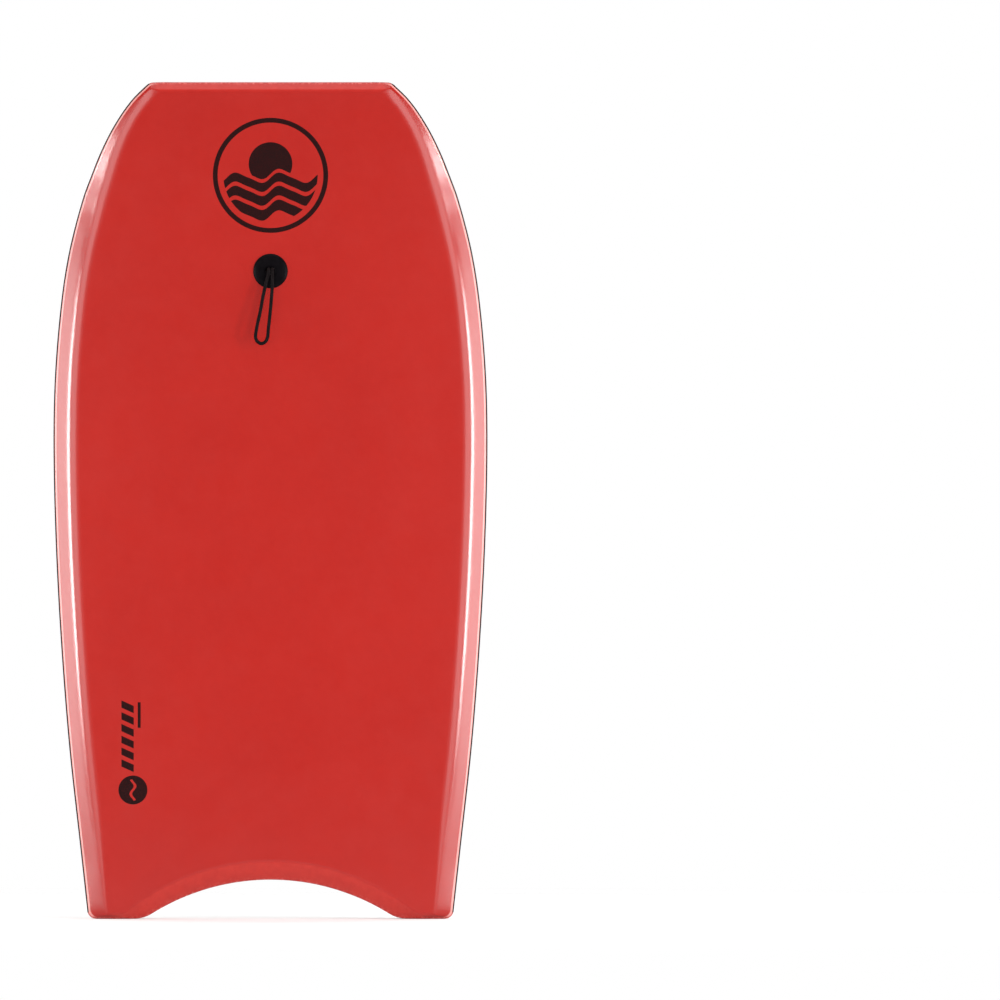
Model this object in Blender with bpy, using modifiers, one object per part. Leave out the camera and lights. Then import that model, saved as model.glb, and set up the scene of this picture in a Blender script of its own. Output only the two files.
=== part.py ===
"""Bodyboard: a laminated foam board with double side rails, a crescent tail and a leash plug.

Frame: metres, +Z up. The board stands on its two tail tips: X is its width, Z its length
(tail tips at z = 0, nose at the top) and Y its thickness. The deck faces -Y, the slick +Y.
The origin is under the middle of the board.

Every layer is built from the same outline and the same stations along the length and across
the tail, so neighbouring layers stay parallel and keep one narrow glue gap between them.
All lengths below are millimetres. An "inset" is measured inwards from the outline, a "depth"
from the deck towards the slick. The side is 1 for the right (+X) and -1 for the left.
"""

import math

import bmesh
import bpy
from mathutils import Vector

# ---------------------------------------------------------------- outline and profile
LENGTH = 1016.0
THICKNESS = 53.0
GAP = 0.3  # glue line between neighbouring layers

# the shaper's template: (height above the tail tips, half width)
TEMPLATE = (
    (-60.0, 215.2), (0.0, 221.4), (84.0, 230.6), (205.0, 244.0), (326.0, 253.7),
    (448.0, 260.4), (569.0, 263.4), (660.0, 261.6), (751.0, 253.8), (812.0, 244.0),
    (873.0, 228.2), (903.0, 217.3), (933.0, 205.2), (964.0, 189.4), (994.0, 168.9),
    (1016.0, 146.9), (1060.0, 102.0),
)
INSET_SEARCH = 40.0  # reach of the search for a point of the inset outline
INSET_HALVINGS = 44

ROCKER_START = 810.0  # the board is flat from the tail up to here
DECK_KICK = 28.0  # how far the nose's deck edge stands forward
SLICK_KICK = 50.0  # how far the nose's bottom edge stands forward
DECK_FRONT = 24.83  # how far the deck's foremost line, above the nose bevel, stands forward
DECK_Y = -(THICKNESS - DECK_FRONT) / 2.0  # the flat deck, with the board centred on y = 0

# corners between the side and the two ends
NOSE_CORNER_RADIUS = 12.0
NOSE_CORNER_REACH = NOSE_CORNER_RADIUS * math.tan(math.radians(22.5))
NOSE_CORNER_HEIGHT = 3.6  # the rounding starts this far below the nose
NOSE_FLARE = 1.02  # widening of the half width per millimetre below the nose
TAIL_CORNER_RADIUS = 9.0
CORNER_FADE = 27.0  # the rounding fades out over this inset
CORNER_SHARE_MIN = 0.06  # but keeps at least this share

# ---------------------------------------------------------------- layers
SKIN = 6.0  # deck skin
BACKING = 4.7  # foam sheet behind the slick
SLICK = 1.5  # hard bottom sheet

# the deck's side bevel: its width, and the depth of its lower edge
CHINE_WIDTH, CHINE_WIDTH_NOSE = 21.0, 11.0
CHINE_DEPTH, CHINE_DEPTH_NOSE, CHINE_DEPTH_TAIL = 15.0, 8.0, 12.5
CHINE_NARROWS = 850.0  # heights where the change towards the nose starts
CHINE_RISES = 800.0
CHINE_TAIL_END = 70.0  # height where the change towards the tail ends

SKIN_EDGE = 1.5  # the skin's edge stands this far inside the side outline
END_EDGE = 0.4  # inset the bevels of tail and nose are laid out from
SKIN_EDGE_HEIGHT = 1.5  # the skin's upright edge below the bevel
FOOT_STEP = 0.6  # least step between the two lines of a bevel's underside
CORE_ROOM = 0.1  # extra inset of the core under the bevel
CORE_TAIL_ROOM = 0.3  # extra depth of the core under the tail bevel
CORE_CORNER_ROOM = 0.8  # extra depth of the core under the skin's edge at the tail tips
CORE_CORNER_END = 30.0  # height where that ends

NOSE_STRIP = 8.0
TAIL_STRIP = 7.0
NOSE_WALL = NOSE_STRIP + GAP  # inset of the layers inside the strips
TAIL_WALL = TAIL_STRIP + GAP
NOSE_BEVEL_WIDTH = 10.0
NOSE_BLEND = 14.0  # side depths change to the nose's depth over this length

# ---------------------------------------------------------------- rails
RAIL_WIDTH, RAIL_WIDTH_NOSE = 25.5, 16.0  # inset of the outer rail's lower edge
RAIL_NARROWS = 700.0  # height where it starts to shrink
INNER_RAIL = 3.0  # thickness of the inner rail, measured across the board
RAIL_GAP = 0.4  # glue line on either side of the inner rail
JOINT_INSET = 2.5  # upper end of the joint between the rails
JOINT_DROP = 2.8  # its depth below the chine
JOINT_RISE = 1.7  # height of the joint's lower end above the slick's face
INNER_RAIL_START = TAIL_WALL + 0.2
INNER_RAIL_END = LENGTH - 1.5
RAIL_NOSE_ROW = 1004.0  # extra station of the rails

# ---------------------------------------------------------------- tail
CRESCENT_RADIUS = 272.0  # the tail's cut-out
CRESCENT_RISE = 47.3  # its height on the centre line
CRESCENT_Z = CRESCENT_RISE - CRESCENT_RADIUS  # centre of its circle
SHOULDER_RADIUS = 40.0  # rounding between the cut-out and a tail tip
# the shoulder's circle touches the line z = 0 and the cut-out's circle from outside it
SHOULDER_X = math.sqrt(
    (CRESCENT_RADIUS + SHOULDER_RADIUS) ** 2 - (SHOULDER_RADIUS - CRESCENT_Z) ** 2
)
SHOULDER_START = SHOULDER_X * CRESCENT_RADIUS / (CRESCENT_RADIUS + SHOULDER_RADIUS)

BEVEL_RADIUS = 282.0  # inner edge of the cut-out's bevel
BEVEL_RISE = 69.3
TIP_BEVEL_WIDTH, TIP_BEVEL_DEPTH = 6.0, 8.0
BEVEL_WIDENING, BEVEL_DEEPENING = 15.5, 6.0  # from the tips to the full bevel
BEVEL_EXPONENT = 0.8

# ---------------------------------------------------------------- leash plug and cord
# heights here are above the deck, so parts inside the board have negative ones
PLUG_Z = 786.6
PLUG_RADIUS = 21.0
PLUG_BORE_RADIUS = 4.5
POST_RADIUS = 7.9
POST_END = -21.0
RIDGE = 0.7  # how far the post's ridges stand out
RIDGE_COUNT = 6
RIDGE_TOP = -2.6
RIDGE_PITCH = 3.0
ANCHOR_RADIUS = 11.5
FLANGE_RADIUS = 21.0
FLANGE_TOP = -43.2
ANCHOR_GAP = 0.4  # room round the anchor
HOLE_ENDS = (-4.0, 49.0)  # depths of the plug hole's cutter
ROUND_STEPS = 32

CORD_RADIUS = 1.9
STRAND_X = 1.95
HINGE_UP = 8.0  # the cord bends this far above the deck
HINGE_Z = 2.5  # and this far above the plug's axis
KNOT_RADIUS = 6.2
KNOT_HEIGHT = -28.5

# a strand from the knot out to the bend: (height above the deck, height above the axis)
STRAND = (
    (-27.0, 0.0), (-8.0, 0.0), (-1.0, 0.3), (2.2, 1.2), (HINGE_UP - 2.7, HINGE_Z - 0.4),
)
# the free loop: (x of its left run, x of its right run, height above the bend, z from the
# plug's axis)
CORD_LOOP = (
    (-1.95, 1.95, 0.0, HINGE_Z + 1.0),
    (-3.4, 2.3, 0.4, -6.0),
    (-7.3, 1.9, 1.6, -22.0),
    (-12.6, -0.4, 3.8, -50.0),
    (-17.4, -2.9, 5.8, -74.0),
    (-18.3, -3.6, 6.5, -82.5),
    (-15.8, -6.2, 6.9, -88.6),
)
CORD_LOOP_END = (-11.0, 7.1, -91.4)  # its lowest point: x, height above the bend, z

# ---------------------------------------------------------------- tail channels
CHANNEL_TOP = (169.0, 176.0)  # where a channel starts: x, z
CHANNEL_END = (141.0, 8.0)  # its middle at the tail
CHANNEL_WIDTH = 19.0  # its width and depth there
CHANNEL_DEPTH = 2.6
CHANNEL_SPAN = (0.04, 1.1)  # the cutter's ends, as shares of the way from top to end

# ---------------------------------------------------------------- stations
SIDE_Z = (
    20, 44, 75, 115, 160, 210, 262, 315, 370, 425, 480, 535, 590, 640, 685, 725, 760,
    790, 810, 830, 850, 870, 889, 907, 924, 940, 955, 969, 982, 993,
)
FIRST_ROW = 75.0  # rows from here up run straight across the board
TAIL_X = (0, 18, 36, 54, 72, 90, 106, 120, 132, 142, 150, 158, 166, 175, 186)
TAIL_CORNER = (0.0, 0.6, 2.2, 4.8, TAIL_CORNER_RADIUS)  # distances up from the tail end
NOSE_CORNER = (NOSE_CORNER_HEIGHT, 2.4, 1.2, 0.4, 0.0)  # distances down from the nose end

# name: (base colour, roughness)
MATERIALS = {
    "deck_red": ((0.58, 0.032, 0.025, 1.0), 0.45),
    "rail_red": ((0.56, 0.024, 0.026, 1.0), 0.5),
    "rail_black": ((0.012, 0.008, 0.009, 1.0), 0.6),
    "slick_white": ((0.87, 0.87, 0.86, 1.0), 0.18),
    "core_foam": ((0.80, 0.79, 0.76, 1.0), 0.85),
    "backing_foam": ((0.72, 0.72, 0.70, 1.0), 0.8),
    "plug_black": ((0.01, 0.01, 0.012, 1.0), 0.25),
    "cord_black": ((0.015, 0.013, 0.014, 1.0), 0.8),
}


# ---------------------------------------------------------------- scene
def make_collection(name):
    collection = bpy.data.collections.new(name)
    bpy.context.scene.collection.children.link(collection)
    return collection


def make_material(name, colour, roughness):
    mat = bpy.data.materials.new(name)
    mat.use_nodes = True
    shader = mat.node_tree.nodes["Principled BSDF"]
    shader.inputs["Base Color"].default_value = colour
    shader.inputs["Roughness"].default_value = roughness
    mat.diffuse_color = colour
    return mat


for old in list(bpy.data.objects):
    bpy.data.objects.remove(old, do_unlink=True)
PARTS = make_collection("bodyboard")
CUTTERS = make_collection("cutters")
MATS = {name: make_material(name, *look) for name, look in MATERIALS.items()}


# ---------------------------------------------------------------- curves of the board
def smooth(t):
    t = min(1.0, max(0.0, t))
    return t * t * (3.0 - 2.0 * t)


def toward_nose(z, start):
    """0 up to the height start, rising smoothly to 1 at the nose."""
    return smooth((z - start) / (LENGTH - start))


def half_width(z):
    """Outline: a cubic through the template's stations."""
    i = 0
    while i < len(TEMPLATE) - 2 and z > TEMPLATE[i + 1][0]:
        i += 1

    def tangent(k):
        below, above = TEMPLATE[max(k - 1, 0)], TEMPLATE[min(k + 1, len(TEMPLATE) - 1)]
        return (above[1] - below[1]) / (above[0] - below[0])

    (low_z, low_width), (high_z, high_width) = TEMPLATE[i], TEMPLATE[i + 1]
    span = high_z - low_z
    t = (z - low_z) / span
    return (
        (2 * t**3 - 3 * t**2 + 1) * low_width
        + (t**3 - 2 * t**2 + t) * span * tangent(i)
        + (3 * t**2 - 2 * t**3) * high_width
        + (t**3 - t**2) * span * tangent(i + 1)
    )


def inset_width(z, inset):
    """Half width at height z of the outline moved inwards, square to the outline."""
    if inset == 0.0:
        return half_width(z)

    def slope_at(foot):
        slope = half_width(foot + 0.5) - half_width(foot - 0.5)
        return slope, math.sqrt(1.0 + slope * slope)

    # find the point of the outline whose inset point lies at height z
    low, high = z - INSET_SEARCH, z + INSET_SEARCH
    for _ in range(INSET_HALVINGS):
        middle = (low + high) / 2.0
        slope, stretch = slope_at(middle)
        if middle + inset * slope / stretch < z:
            low = middle
        else:
            high = middle
    middle = (low + high) / 2.0
    return half_width(middle) - inset / slope_at(middle)[1]


def corner_cut(up, down):
    """How far the rounded corners take the side in, at distances up from the tail end and
    down from the nose end."""
    cut = 0.0
    if up < TAIL_CORNER_RADIUS:
        radius = TAIL_CORNER_RADIUS
        cut += radius - math.sqrt(max(0.0, radius**2 - (radius - up) ** 2))
    if down < NOSE_CORNER_HEIGHT:
        radius = NOSE_CORNER_RADIUS
        arc = math.sqrt(radius**2 - (radius - down) ** 2)
        cut += max(0.0, NOSE_FLARE * down + NOSE_CORNER_REACH - arc)
    return cut


def side_x(z, inset, tail_end=0.0, nose_end=LENGTH):
    share = max(CORNER_SHARE_MIN, 1.0 - inset / CORNER_FADE)
    return inset_width(z, inset) - share * corner_cut(z - tail_end, nose_end - z)


def rocker(z):
    return max(0.0, (z - ROCKER_START) / (LENGTH - ROCKER_START)) ** 2


def thickness(z):
    return THICKNESS - (SLICK_KICK - DECK_KICK) * rocker(z)


def to_world(x, depth, z):
    """Point in metres at a depth below the curved deck."""
    return Vector((x, DECK_Y - DECK_KICK * rocker(z) + depth, z)) / 1000.0


def chine_width(z):
    return CHINE_WIDTH + (CHINE_WIDTH_NOSE - CHINE_WIDTH) * toward_nose(z, CHINE_NARROWS)


def chine_depth(z):
    nose_change = (CHINE_DEPTH_NOSE - CHINE_DEPTH) * toward_nose(z, CHINE_RISES)
    tail_change = (CHINE_DEPTH_TAIL - CHINE_DEPTH) * (1.0 - smooth(z / CHINE_TAIL_END))
    return CHINE_DEPTH + nose_change + tail_change


def blend_to_nose(depth, nose_depth, down):
    """A side depth changing to the nose's, at a distance down from the nose end."""
    return depth + (nose_depth - depth) * smooth(1.0 - down / NOSE_BLEND)


def rail_width(z):
    return RAIL_WIDTH + (RAIL_WIDTH_NOSE - RAIL_WIDTH) * toward_nose(z, RAIL_NARROWS)


def rail_line(z, depth):
    """Inset of the joint between the outer and the inner rail at a depth."""
    top = chine_depth(z) + JOINT_DROP
    slope = (rail_width(z) - JOINT_INSET) / (thickness(z) - JOINT_RISE - top)
    return JOINT_INSET + slope * (depth - top)


def core_line(z, depth):
    """Inset of the joint between the inner rail and the layers inside it."""
    return rail_line(z, depth) + INNER_RAIL + RAIL_GAP


def crescent(x):
    """Height of the tail's outline: the cut-out, its shoulders and the flat tips."""
    if x <= SHOULDER_START:
        return CRESCENT_Z + math.sqrt(CRESCENT_RADIUS**2 - x * x)
    if x < SHOULDER_X:
        return SHOULDER_RADIUS - math.sqrt(SHOULDER_RADIUS**2 - (SHOULDER_X - x) ** 2)
    return 0.0


def tail_stretch(x):
    """Distance in z per distance square to the tail's outline."""
    slope = (crescent(x + 0.5) - crescent(max(0.0, x - 0.5))) / (0.5 + min(x, 0.5))
    return math.sqrt(1.0 + slope * slope)


def tail_z(x, inset):
    return crescent(x) + inset * tail_stretch(x)


def tail_bevel_width(x):
    """Width of the tail's deck bevel, square to the tail's outline."""
    edge = BEVEL_RISE - BEVEL_RADIUS + math.sqrt(BEVEL_RADIUS**2 - x * x)
    return max((edge - crescent(x)) / tail_stretch(x) - END_EDGE, TIP_BEVEL_WIDTH)


def tail_bevel_depth(x):
    t = min(1.0, max(0.0, (tail_bevel_width(x) - TIP_BEVEL_WIDTH) / BEVEL_WIDENING))
    return TIP_BEVEL_DEPTH + BEVEL_DEEPENING * t**BEVEL_EXPONENT


# ---------------------------------------------------------------- object helpers
def link_object(name, data, mat=None, collection=PARTS):
    ob = bpy.data.objects.new(name, data)
    if mat:
        data.materials.append(MATS[mat])
    collection.objects.link(ob)
    return ob


def link_bmesh(name, bm, mat=None, collection=PARTS):
    mesh = bpy.data.meshes.new(name)
    bm.to_mesh(mesh)
    bm.free()
    return link_object(name, mesh, mat, collection)


def combine(ob, tool, name, operation="DIFFERENCE"):
    modifier = ob.modifiers.new(name, "BOOLEAN")
    modifier.operation = operation
    modifier.solver = "EXACT"
    modifier.object = tool


def contour(side, tail, nose):
    """Points (x, depth, z) of the board's right half, from the tail's centre round to the
    nose's centre. side(z), tail(x) and nose each give (inset, depth)."""
    nose_inset, nose_depth = nose
    tail_end = tail(TAIL_X[-1])[0]
    nose_end = LENGTH - nose_inset
    points = []
    for x in TAIL_X:
        inset, depth = tail(x)
        points.append((x, depth, tail_z(x, inset)))
    rows = [tail_end + up for up in TAIL_CORNER]
    rows += SIDE_Z
    rows += [nose_end - down for down in NOSE_CORNER]
    for z in rows:
        inset, depth = side(z)
        depth = blend_to_nose(depth, nose_depth, nose_end - z)
        points.append((side_x(z, inset, tail_end, nose_end), depth, z))
    points.append((0.0, nose_depth, nose_end))
    return points


def closing_loops(bm, points, verts):
    """Faces that fill a contour: one round the tail, then one for each row up the board."""
    last = len(verts) - 1
    start = next(k for k in range(len(TAIL_X), last) if points[k][2] >= FIRST_ROW)
    centre = {last - 1: verts[last]}
    for k in range(start, last - 1):
        _, depth, z = points[k]
        centre[k] = bm.verts.new(to_world(0.0, depth, z))
    loops = [[centre[start]] + verts[: start + 1]]
    for k in range(start, last - 1):
        loops.append([centre[k], verts[k], verts[k + 1], centre[k + 1]])
    return loops


def layer(name, contours, mat, collection=PARTS):
    """A solid between a stack of contours: half of it, mirrored across the centre line."""
    bm = bmesh.new()
    verts = [[bm.verts.new(to_world(*p)) for p in points] for points in contours]
    for upper, lower in zip(verts, verts[1:]):
        for k in range(len(upper) - 1):
            # the same diagonal in every layer keeps the glue lines open
            bm.faces.new((upper[k], lower[k], lower[k + 1]))
            bm.faces.new((upper[k], lower[k + 1], upper[k + 1]))
    for loop in closing_loops(bm, contours[0], verts[0]):
        bm.faces.new(loop)
    for loop in closing_loops(bm, contours[-1], verts[-1]):
        bm.faces.new(loop[::-1])
    ob = link_bmesh(name, bm, mat, collection)
    mirror = ob.modifiers.new("Mirror", "MIRROR")
    mirror.use_axis = (True, False, False)
    mirror.merge_threshold = 0.0001
    mirror.use_clip = True
    return ob


# Choices of the diagonal between two sections, from their points k and j
def by_depth(section, following, k, j):
    return section[k].y <= section[j].y


def by_depth_mirrored(section, following, k, j):
    """As by_depth, with the left half's triangles mirroring the right half's."""
    on_left = section[0].x < following[0].x <= 0.0
    return by_depth(section, following, k, j) != on_left


def one_way(section, following, k, j):
    return True


def sweep(name, sections, mat=None, collection=PARTS, diagonal=by_depth):
    """A solid through a row of sections, each a list of points in the same order."""
    bm = bmesh.new()
    verts = [[bm.verts.new(point) for point in section] for section in sections]
    count = len(sections[0])
    for i in range(len(sections) - 1):
        here, there = verts[i], verts[i + 1]
        for k in range(count):
            j = (k + 1) % count
            if diagonal(sections[i], sections[i + 1], k, j):
                bm.faces.new((here[k], here[j], there[j]))
                bm.faces.new((here[k], there[j], there[k]))
            else:
                bm.faces.new((here[k], here[j], there[k]))
                bm.faces.new((here[j], there[j], there[k]))
    bm.faces.new(verts[0][::-1])
    bm.faces.new(verts[-1])
    bmesh.ops.recalc_face_normals(bm, faces=bm.faces)
    return link_bmesh(name, bm, mat, collection)


# ---------------------------------------------------------------- deck skin and core
# A bevel is (inset of its outer edge, width, depth of the skin's lower edge)
NOSE_BEVEL = (END_EDGE, NOSE_BEVEL_WIDTH, CHINE_DEPTH_NOSE)


def side_bevel(z):
    return SKIN_EDGE, chine_width(z), chine_depth(z)


def tail_bevel(x):
    return END_EDGE, tail_bevel_width(x), tail_bevel_depth(x)


def bevel_lines(edge, width, deep, below, room=0.0):
    """Insets of the surface parallel to a bevel, at a distance below the deck: where it
    leaves the flat and where it meets the skin's lower edge."""
    fall = deep - SKIN_EDGE_HEIGHT
    inner = edge + width + below * math.tan(math.atan2(fall, width) / 2.0) + room
    return inner, min(inner - (deep - SKIN) * width / fall + room, inner - FOOT_STEP)


def bevel_contour(point):
    """Contour whose (inset, depth) is point(edge, width, deep) of the local bevel."""
    return contour(
        lambda z: point(*side_bevel(z)),
        lambda x: point(*tail_bevel(x)),
        point(*NOSE_BEVEL),
    )


def build_skin():
    def upper(more, share):
        """On the bevel, a share of the way down it, and more further in."""
        return bevel_contour(
            lambda edge, width, deep: (
                edge + width * (1.0 - share) + more,
                (deep - SKIN_EDGE_HEIGHT) * share,
            )
        )

    def edge_contour(up):
        return contour(
            lambda z: (SKIN_EDGE, chine_depth(z) - up),
            lambda x: (0.0, tail_bevel_depth(x) - up),
            (0.0, CHINE_DEPTH_NOSE - up),
        )

    foot = bevel_contour(lambda *bevel: (bevel_lines(*bevel, SKIN)[1], bevel[2]))
    under = bevel_contour(lambda *bevel: (bevel_lines(*bevel, SKIN)[0], SKIN))
    # the first two contours round the edge between flat and bevel
    contours = [
        upper(1.6, 0.0),
        upper(0.0, 0.12),
        edge_contour(SKIN_EDGE_HEIGHT),
        edge_contour(0.0),
        foot,
        under,
    ]
    return layer("deck_skin", contours, "deck_red")


def inside_contour(up, more=0.0):
    """Contour of the layers inside the rails, at a height above the slick's face."""
    return contour(
        lambda z: (core_line(z, thickness(z) - up) + more, thickness(z) - up),
        lambda x: (TAIL_WALL + more, THICKNESS - up),
        (NOSE_WALL + more, thickness(LENGTH - NOSE_STRIP) - up),
    )


def build_core():
    below = SKIN + GAP

    # depths of the core's face under the skin's edge
    def side_seat(z):
        return chine_depth(z) + GAP + CORE_CORNER_ROOM * (1.0 - smooth(z / CORE_CORNER_END))

    def tail_seat(x):
        return tail_bevel_depth(x) + GAP + CORE_TAIL_ROOM

    nose_seat = CHINE_DEPTH_NOSE + GAP

    def under_bevel(line, from_wall, side_depth, tail_depth, nose_depth):
        """Contour on a line of the bevel, kept at least from_wall inside the strips."""

        def inset(bevel):
            return bevel_lines(*bevel, below, CORE_ROOM)[line]

        return contour(
            lambda z: (inset(side_bevel(z)), side_depth(z)),
            lambda x: (max(inset(tail_bevel(x)), TAIL_WALL + from_wall), tail_depth(x)),
            (max(inset(NOSE_BEVEL), NOSE_WALL + from_wall), nose_depth),
        )

    top = under_bevel(0, 1.4, lambda z: below, lambda x: below, below)
    foot = under_bevel(1, 0.7, side_seat, tail_seat, nose_seat)
    shoulder = contour(
        lambda z: (core_line(z, chine_depth(z) + GAP), side_seat(z)),
        lambda x: (TAIL_WALL, tail_seat(x)),
        (NOSE_WALL, nose_seat),
    )
    bottom = inside_contour(SLICK + BACKING + 2 * GAP)
    return layer("core_blank", [top, foot, shoulder, bottom], "core_foam")


# ---------------------------------------------------------------- slick and channels
def channel(name, side, grow, over):
    """A wedge that widens and deepens towards the tail, grown by a layer's thickness; over
    is how far it stands out of (or, negative, stays inside) the slick's face."""
    (top_x, top_z), (end_x, end_z) = CHANNEL_TOP, CHANNEL_END
    sections = []
    for share in CHANNEL_SPAN:
        x = top_x + (end_x - top_x) * share
        z = top_z + (end_z - top_z) * share
        half = CHANNEL_WIDTH / 2.0 * share
        deep = CHANNEL_DEPTH * share
        mouth = half + grow * 1.3 + 0.3 * half * over / max(deep, 1.0)
        floor = half * 0.4 + grow * 0.8
        face, bottom = THICKNESS + over, THICKNESS - deep - grow
        corners = ((-mouth, face), (-floor, bottom), (floor, bottom), (mouth, face))
        sections.append([to_world(side * (x + across), depth, z) for across, depth in corners])
    return sweep(name, sections, collection=CUTTERS, diagonal=one_way)


def build_slick():
    """The slick sheet and its backing; at the tail channels the slick dips into it."""
    backing = layer(
        "slick_backing",
        [inside_contour(SLICK + GAP + BACKING), inside_contour(SLICK + GAP)],
        "backing_foam",
    )
    slick = layer("slick_sheet", [inside_contour(SLICK), inside_contour(0.0)], "slick_white")
    # keeps the dips inside the rails and the tail strip
    room = layer(
        "channel_room",
        [inside_contour(7.0, more=0.4), inside_contour(-0.4, more=0.4)],
        "backing_foam",
        CUTTERS,
    )
    for side, word in ((1, "right"), (-1, "left")):
        dip = channel("channel_skin_" + word, side, grow=SLICK, over=-0.6)
        groove = channel("channel_" + word, side, grow=0.0, over=1.0)
        seat = channel("channel_seat_" + word, side, grow=SLICK + 0.9, over=1.0)
        combine(dip, room, "tail wall", "INTERSECT")
        combine(slick, dip, "channel skin " + word, "UNION")
        combine(slick, groove, "channel " + word)
        combine(backing, seat, "channel " + word)


# ---------------------------------------------------------------- rails and end strips
def outer_rail_section(z):
    """(inset, depth) round the outer rail."""
    top, bottom, width = chine_depth(z), thickness(z), rail_width(z)
    upper = top + JOINT_DROP + RAIL_GAP
    return [
        (rail_line(z, upper) - RAIL_GAP, upper),
        (0.4, upper),
        (0.05, top + 4.0),
        (0.38 * width, top + 0.60 * (bottom - top)),
        (width - 2.2, bottom - 2.5),
        (width - RAIL_GAP, bottom - JOINT_RISE),
    ]


def inner_rail_section(z):
    """(inset, depth) round the inner rail, whose upper edge laps over the outer rail."""
    top, bottom = chine_depth(z), thickness(z)
    # inner face: its lower edge, then the middles of the slick's and backing's glue lines
    rises = (0.05, SLICK + GAP / 2.0, SLICK + GAP + BACKING + GAP / 2.0)
    inner_depths = [top + GAP] + [bottom - rise for rise in rises]
    first, *inner_face = [(rail_line(z, d) + INNER_RAIL, d) for d in inner_depths]
    return [
        first,
        (0.5, top + GAP),
        (0.0, top + 0.8),
        (0.0, top + 2.4),
        (JOINT_INSET, top + JOINT_DROP),
        (rail_width(z), bottom - JOINT_RISE),
        *inner_face,
    ]


def rail(name, section, low, high, side, mat):
    rows = [low] + [z for z in TAIL_CORNER if z > low]
    rows += SIDE_Z
    nose_rows = [RAIL_NOSE_ROW] + [LENGTH - down for down in NOSE_CORNER]
    rows += [z for z in nose_rows if z < high] + [high]
    sections = [
        [to_world(side * side_x(z, inset), depth, z) for inset, depth in section(z)]
        for z in rows
    ]
    sweep(name, sections, mat)


def build_rails():
    for side, word in ((1, "right"), (-1, "left")):
        rail("rail_outer_" + word, outer_rail_section, 0.0, LENGTH, side, "rail_red")
        rail(
            "rail_inner_" + word,
            inner_rail_section,
            INNER_RAIL_START,
            INNER_RAIL_END,
            side,
            "rail_black",
        )


def build_nose_strip():
    top, bottom = CHINE_DEPTH_NOSE, thickness(LENGTH)
    outline = [  # (distance below the nose, depth)
        (NOSE_STRIP, top + GAP),
        (0.4, top + GAP),
        (0.0, top + 1.0),
        (0.0, bottom - 6.0),
        (1.2, bottom - 2.6),
        (3.6, bottom - 0.5),
        (NOSE_STRIP, thickness(LENGTH - NOSE_STRIP) - 0.05),
    ]
    section = []
    for down, depth in outline:
        z = LENGTH - down
        skin = blend_to_nose(chine_depth(z), top, down)
        section.append((z, max(depth, skin + GAP)))
    ends = [
        [to_world(side * side_x(z, core_line(z, depth)), depth, z) for z, depth in section]
        for side in (-1, 1)
    ]
    sweep("nose_strip", ends, "rail_red")


def tail_strip_section(x):
    """(inset, depth) round the tail strip, a little lower near the board's corner."""
    top = tail_bevel_depth(x) + (0.3 if x > 180.0 else 0.0)
    return [
        (TAIL_STRIP, top + GAP),
        (0.4, top + GAP),
        (0.0, top + 1.0),
        (0.0, THICKNESS - 3.5),
        (1.4, THICKNESS - 1.2),
        (3.8, THICKNESS - 0.2),
        (TAIL_STRIP, THICKNESS - 0.05),
    ]


def build_tail_strip():
    right = [
        [(x, depth, tail_z(x, inset)) for inset, depth in tail_strip_section(x)]
        for x in TAIL_X
    ]
    # the strip runs under the skin's deeper edge at the board's corner
    last_x = TAIL_X[-1]
    turn, end = [], []
    for z, depth in tail_strip_section(last_x):
        depth = max(depth, CHINE_DEPTH_TAIL + 0.8)
        x = side_x(z, max(3.6, rail_line(z, depth) + 0.3))
        turn.append((last_x + 0.6 * (x - last_x), depth, z))
        end.append((x, depth, z))
    right += [turn, end]
    left = [[(-x, depth, z) for x, depth, z in section] for section in right[:0:-1]]
    sections = [[to_world(*point) for point in section] for section in left + right]
    sweep("tail_strip", sections, "rail_red", diagonal=by_depth_mirrored)


# ---------------------------------------------------------------- plug
def plug_point(x, up, along):
    """World point: x across, up above the deck, along the board from the plug's axis."""
    return Vector((x, DECK_Y - up, PLUG_Z + along)) / 1000.0


def hole_cutter(name, radius, top, bottom):
    """A round cutter on the plug's axis between two depths."""
    bm = bmesh.new()
    bmesh.ops.create_cone(
        bm,
        cap_ends=True,
        segments=ROUND_STEPS,
        radius1=radius / 1000.0,
        radius2=radius / 1000.0,
        depth=(bottom - top) / 1000.0,
    )
    ob = link_bmesh(name, bm, collection=CUTTERS)
    ob.rotation_euler = (math.pi / 2.0, 0.0, 0.0)
    ob.location = plug_point(0.0, -(top + bottom) / 2.0, 0.0)
    return ob


def cut_plug_hole(skin, core):
    top, bottom = HOLE_ENDS
    bore = hole_cutter("plug_bore", ANCHOR_RADIUS + ANCHOR_GAP, top, bottom)
    pocket = hole_cutter(
        "anchor_pocket", FLANGE_RADIUS + ANCHOR_GAP, -FLANGE_TOP - ANCHOR_GAP, bottom
    )
    combine(skin, bore, "plug hole")
    combine(core, bore, "plug hole")
    combine(core, pocket, "anchor pocket")


def turned(name, profile):
    """A turned piece on the plug's axis; profile is (radius, height above the deck). A
    profile that starts off the axis is closed into a ring."""
    count = len(profile)
    edges = [(k, k + 1) for k in range(count - 1)]
    if profile[0][0] > 0.0:
        edges.append((count - 1, 0))
    mesh = bpy.data.meshes.new(name)
    mesh.from_pydata([(r / 1000.0, 0.0, up / 1000.0) for r, up in profile], edges, [])
    ob = link_object(name, mesh, "plug_black")
    ob.location = plug_point(0.0, 0.0, 0.0)
    ob.rotation_euler = (math.pi / 2.0, 0.0, 0.0)
    screw = ob.modifiers.new("Screw", "SCREW")
    screw.axis = "Z"
    screw.angle = math.tau
    screw.steps = screw.render_steps = ROUND_STEPS
    screw.use_merge_vertices = True
    screw.merge_threshold = 0.0001
    screw.use_smooth_shade = True
    return ob


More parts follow.
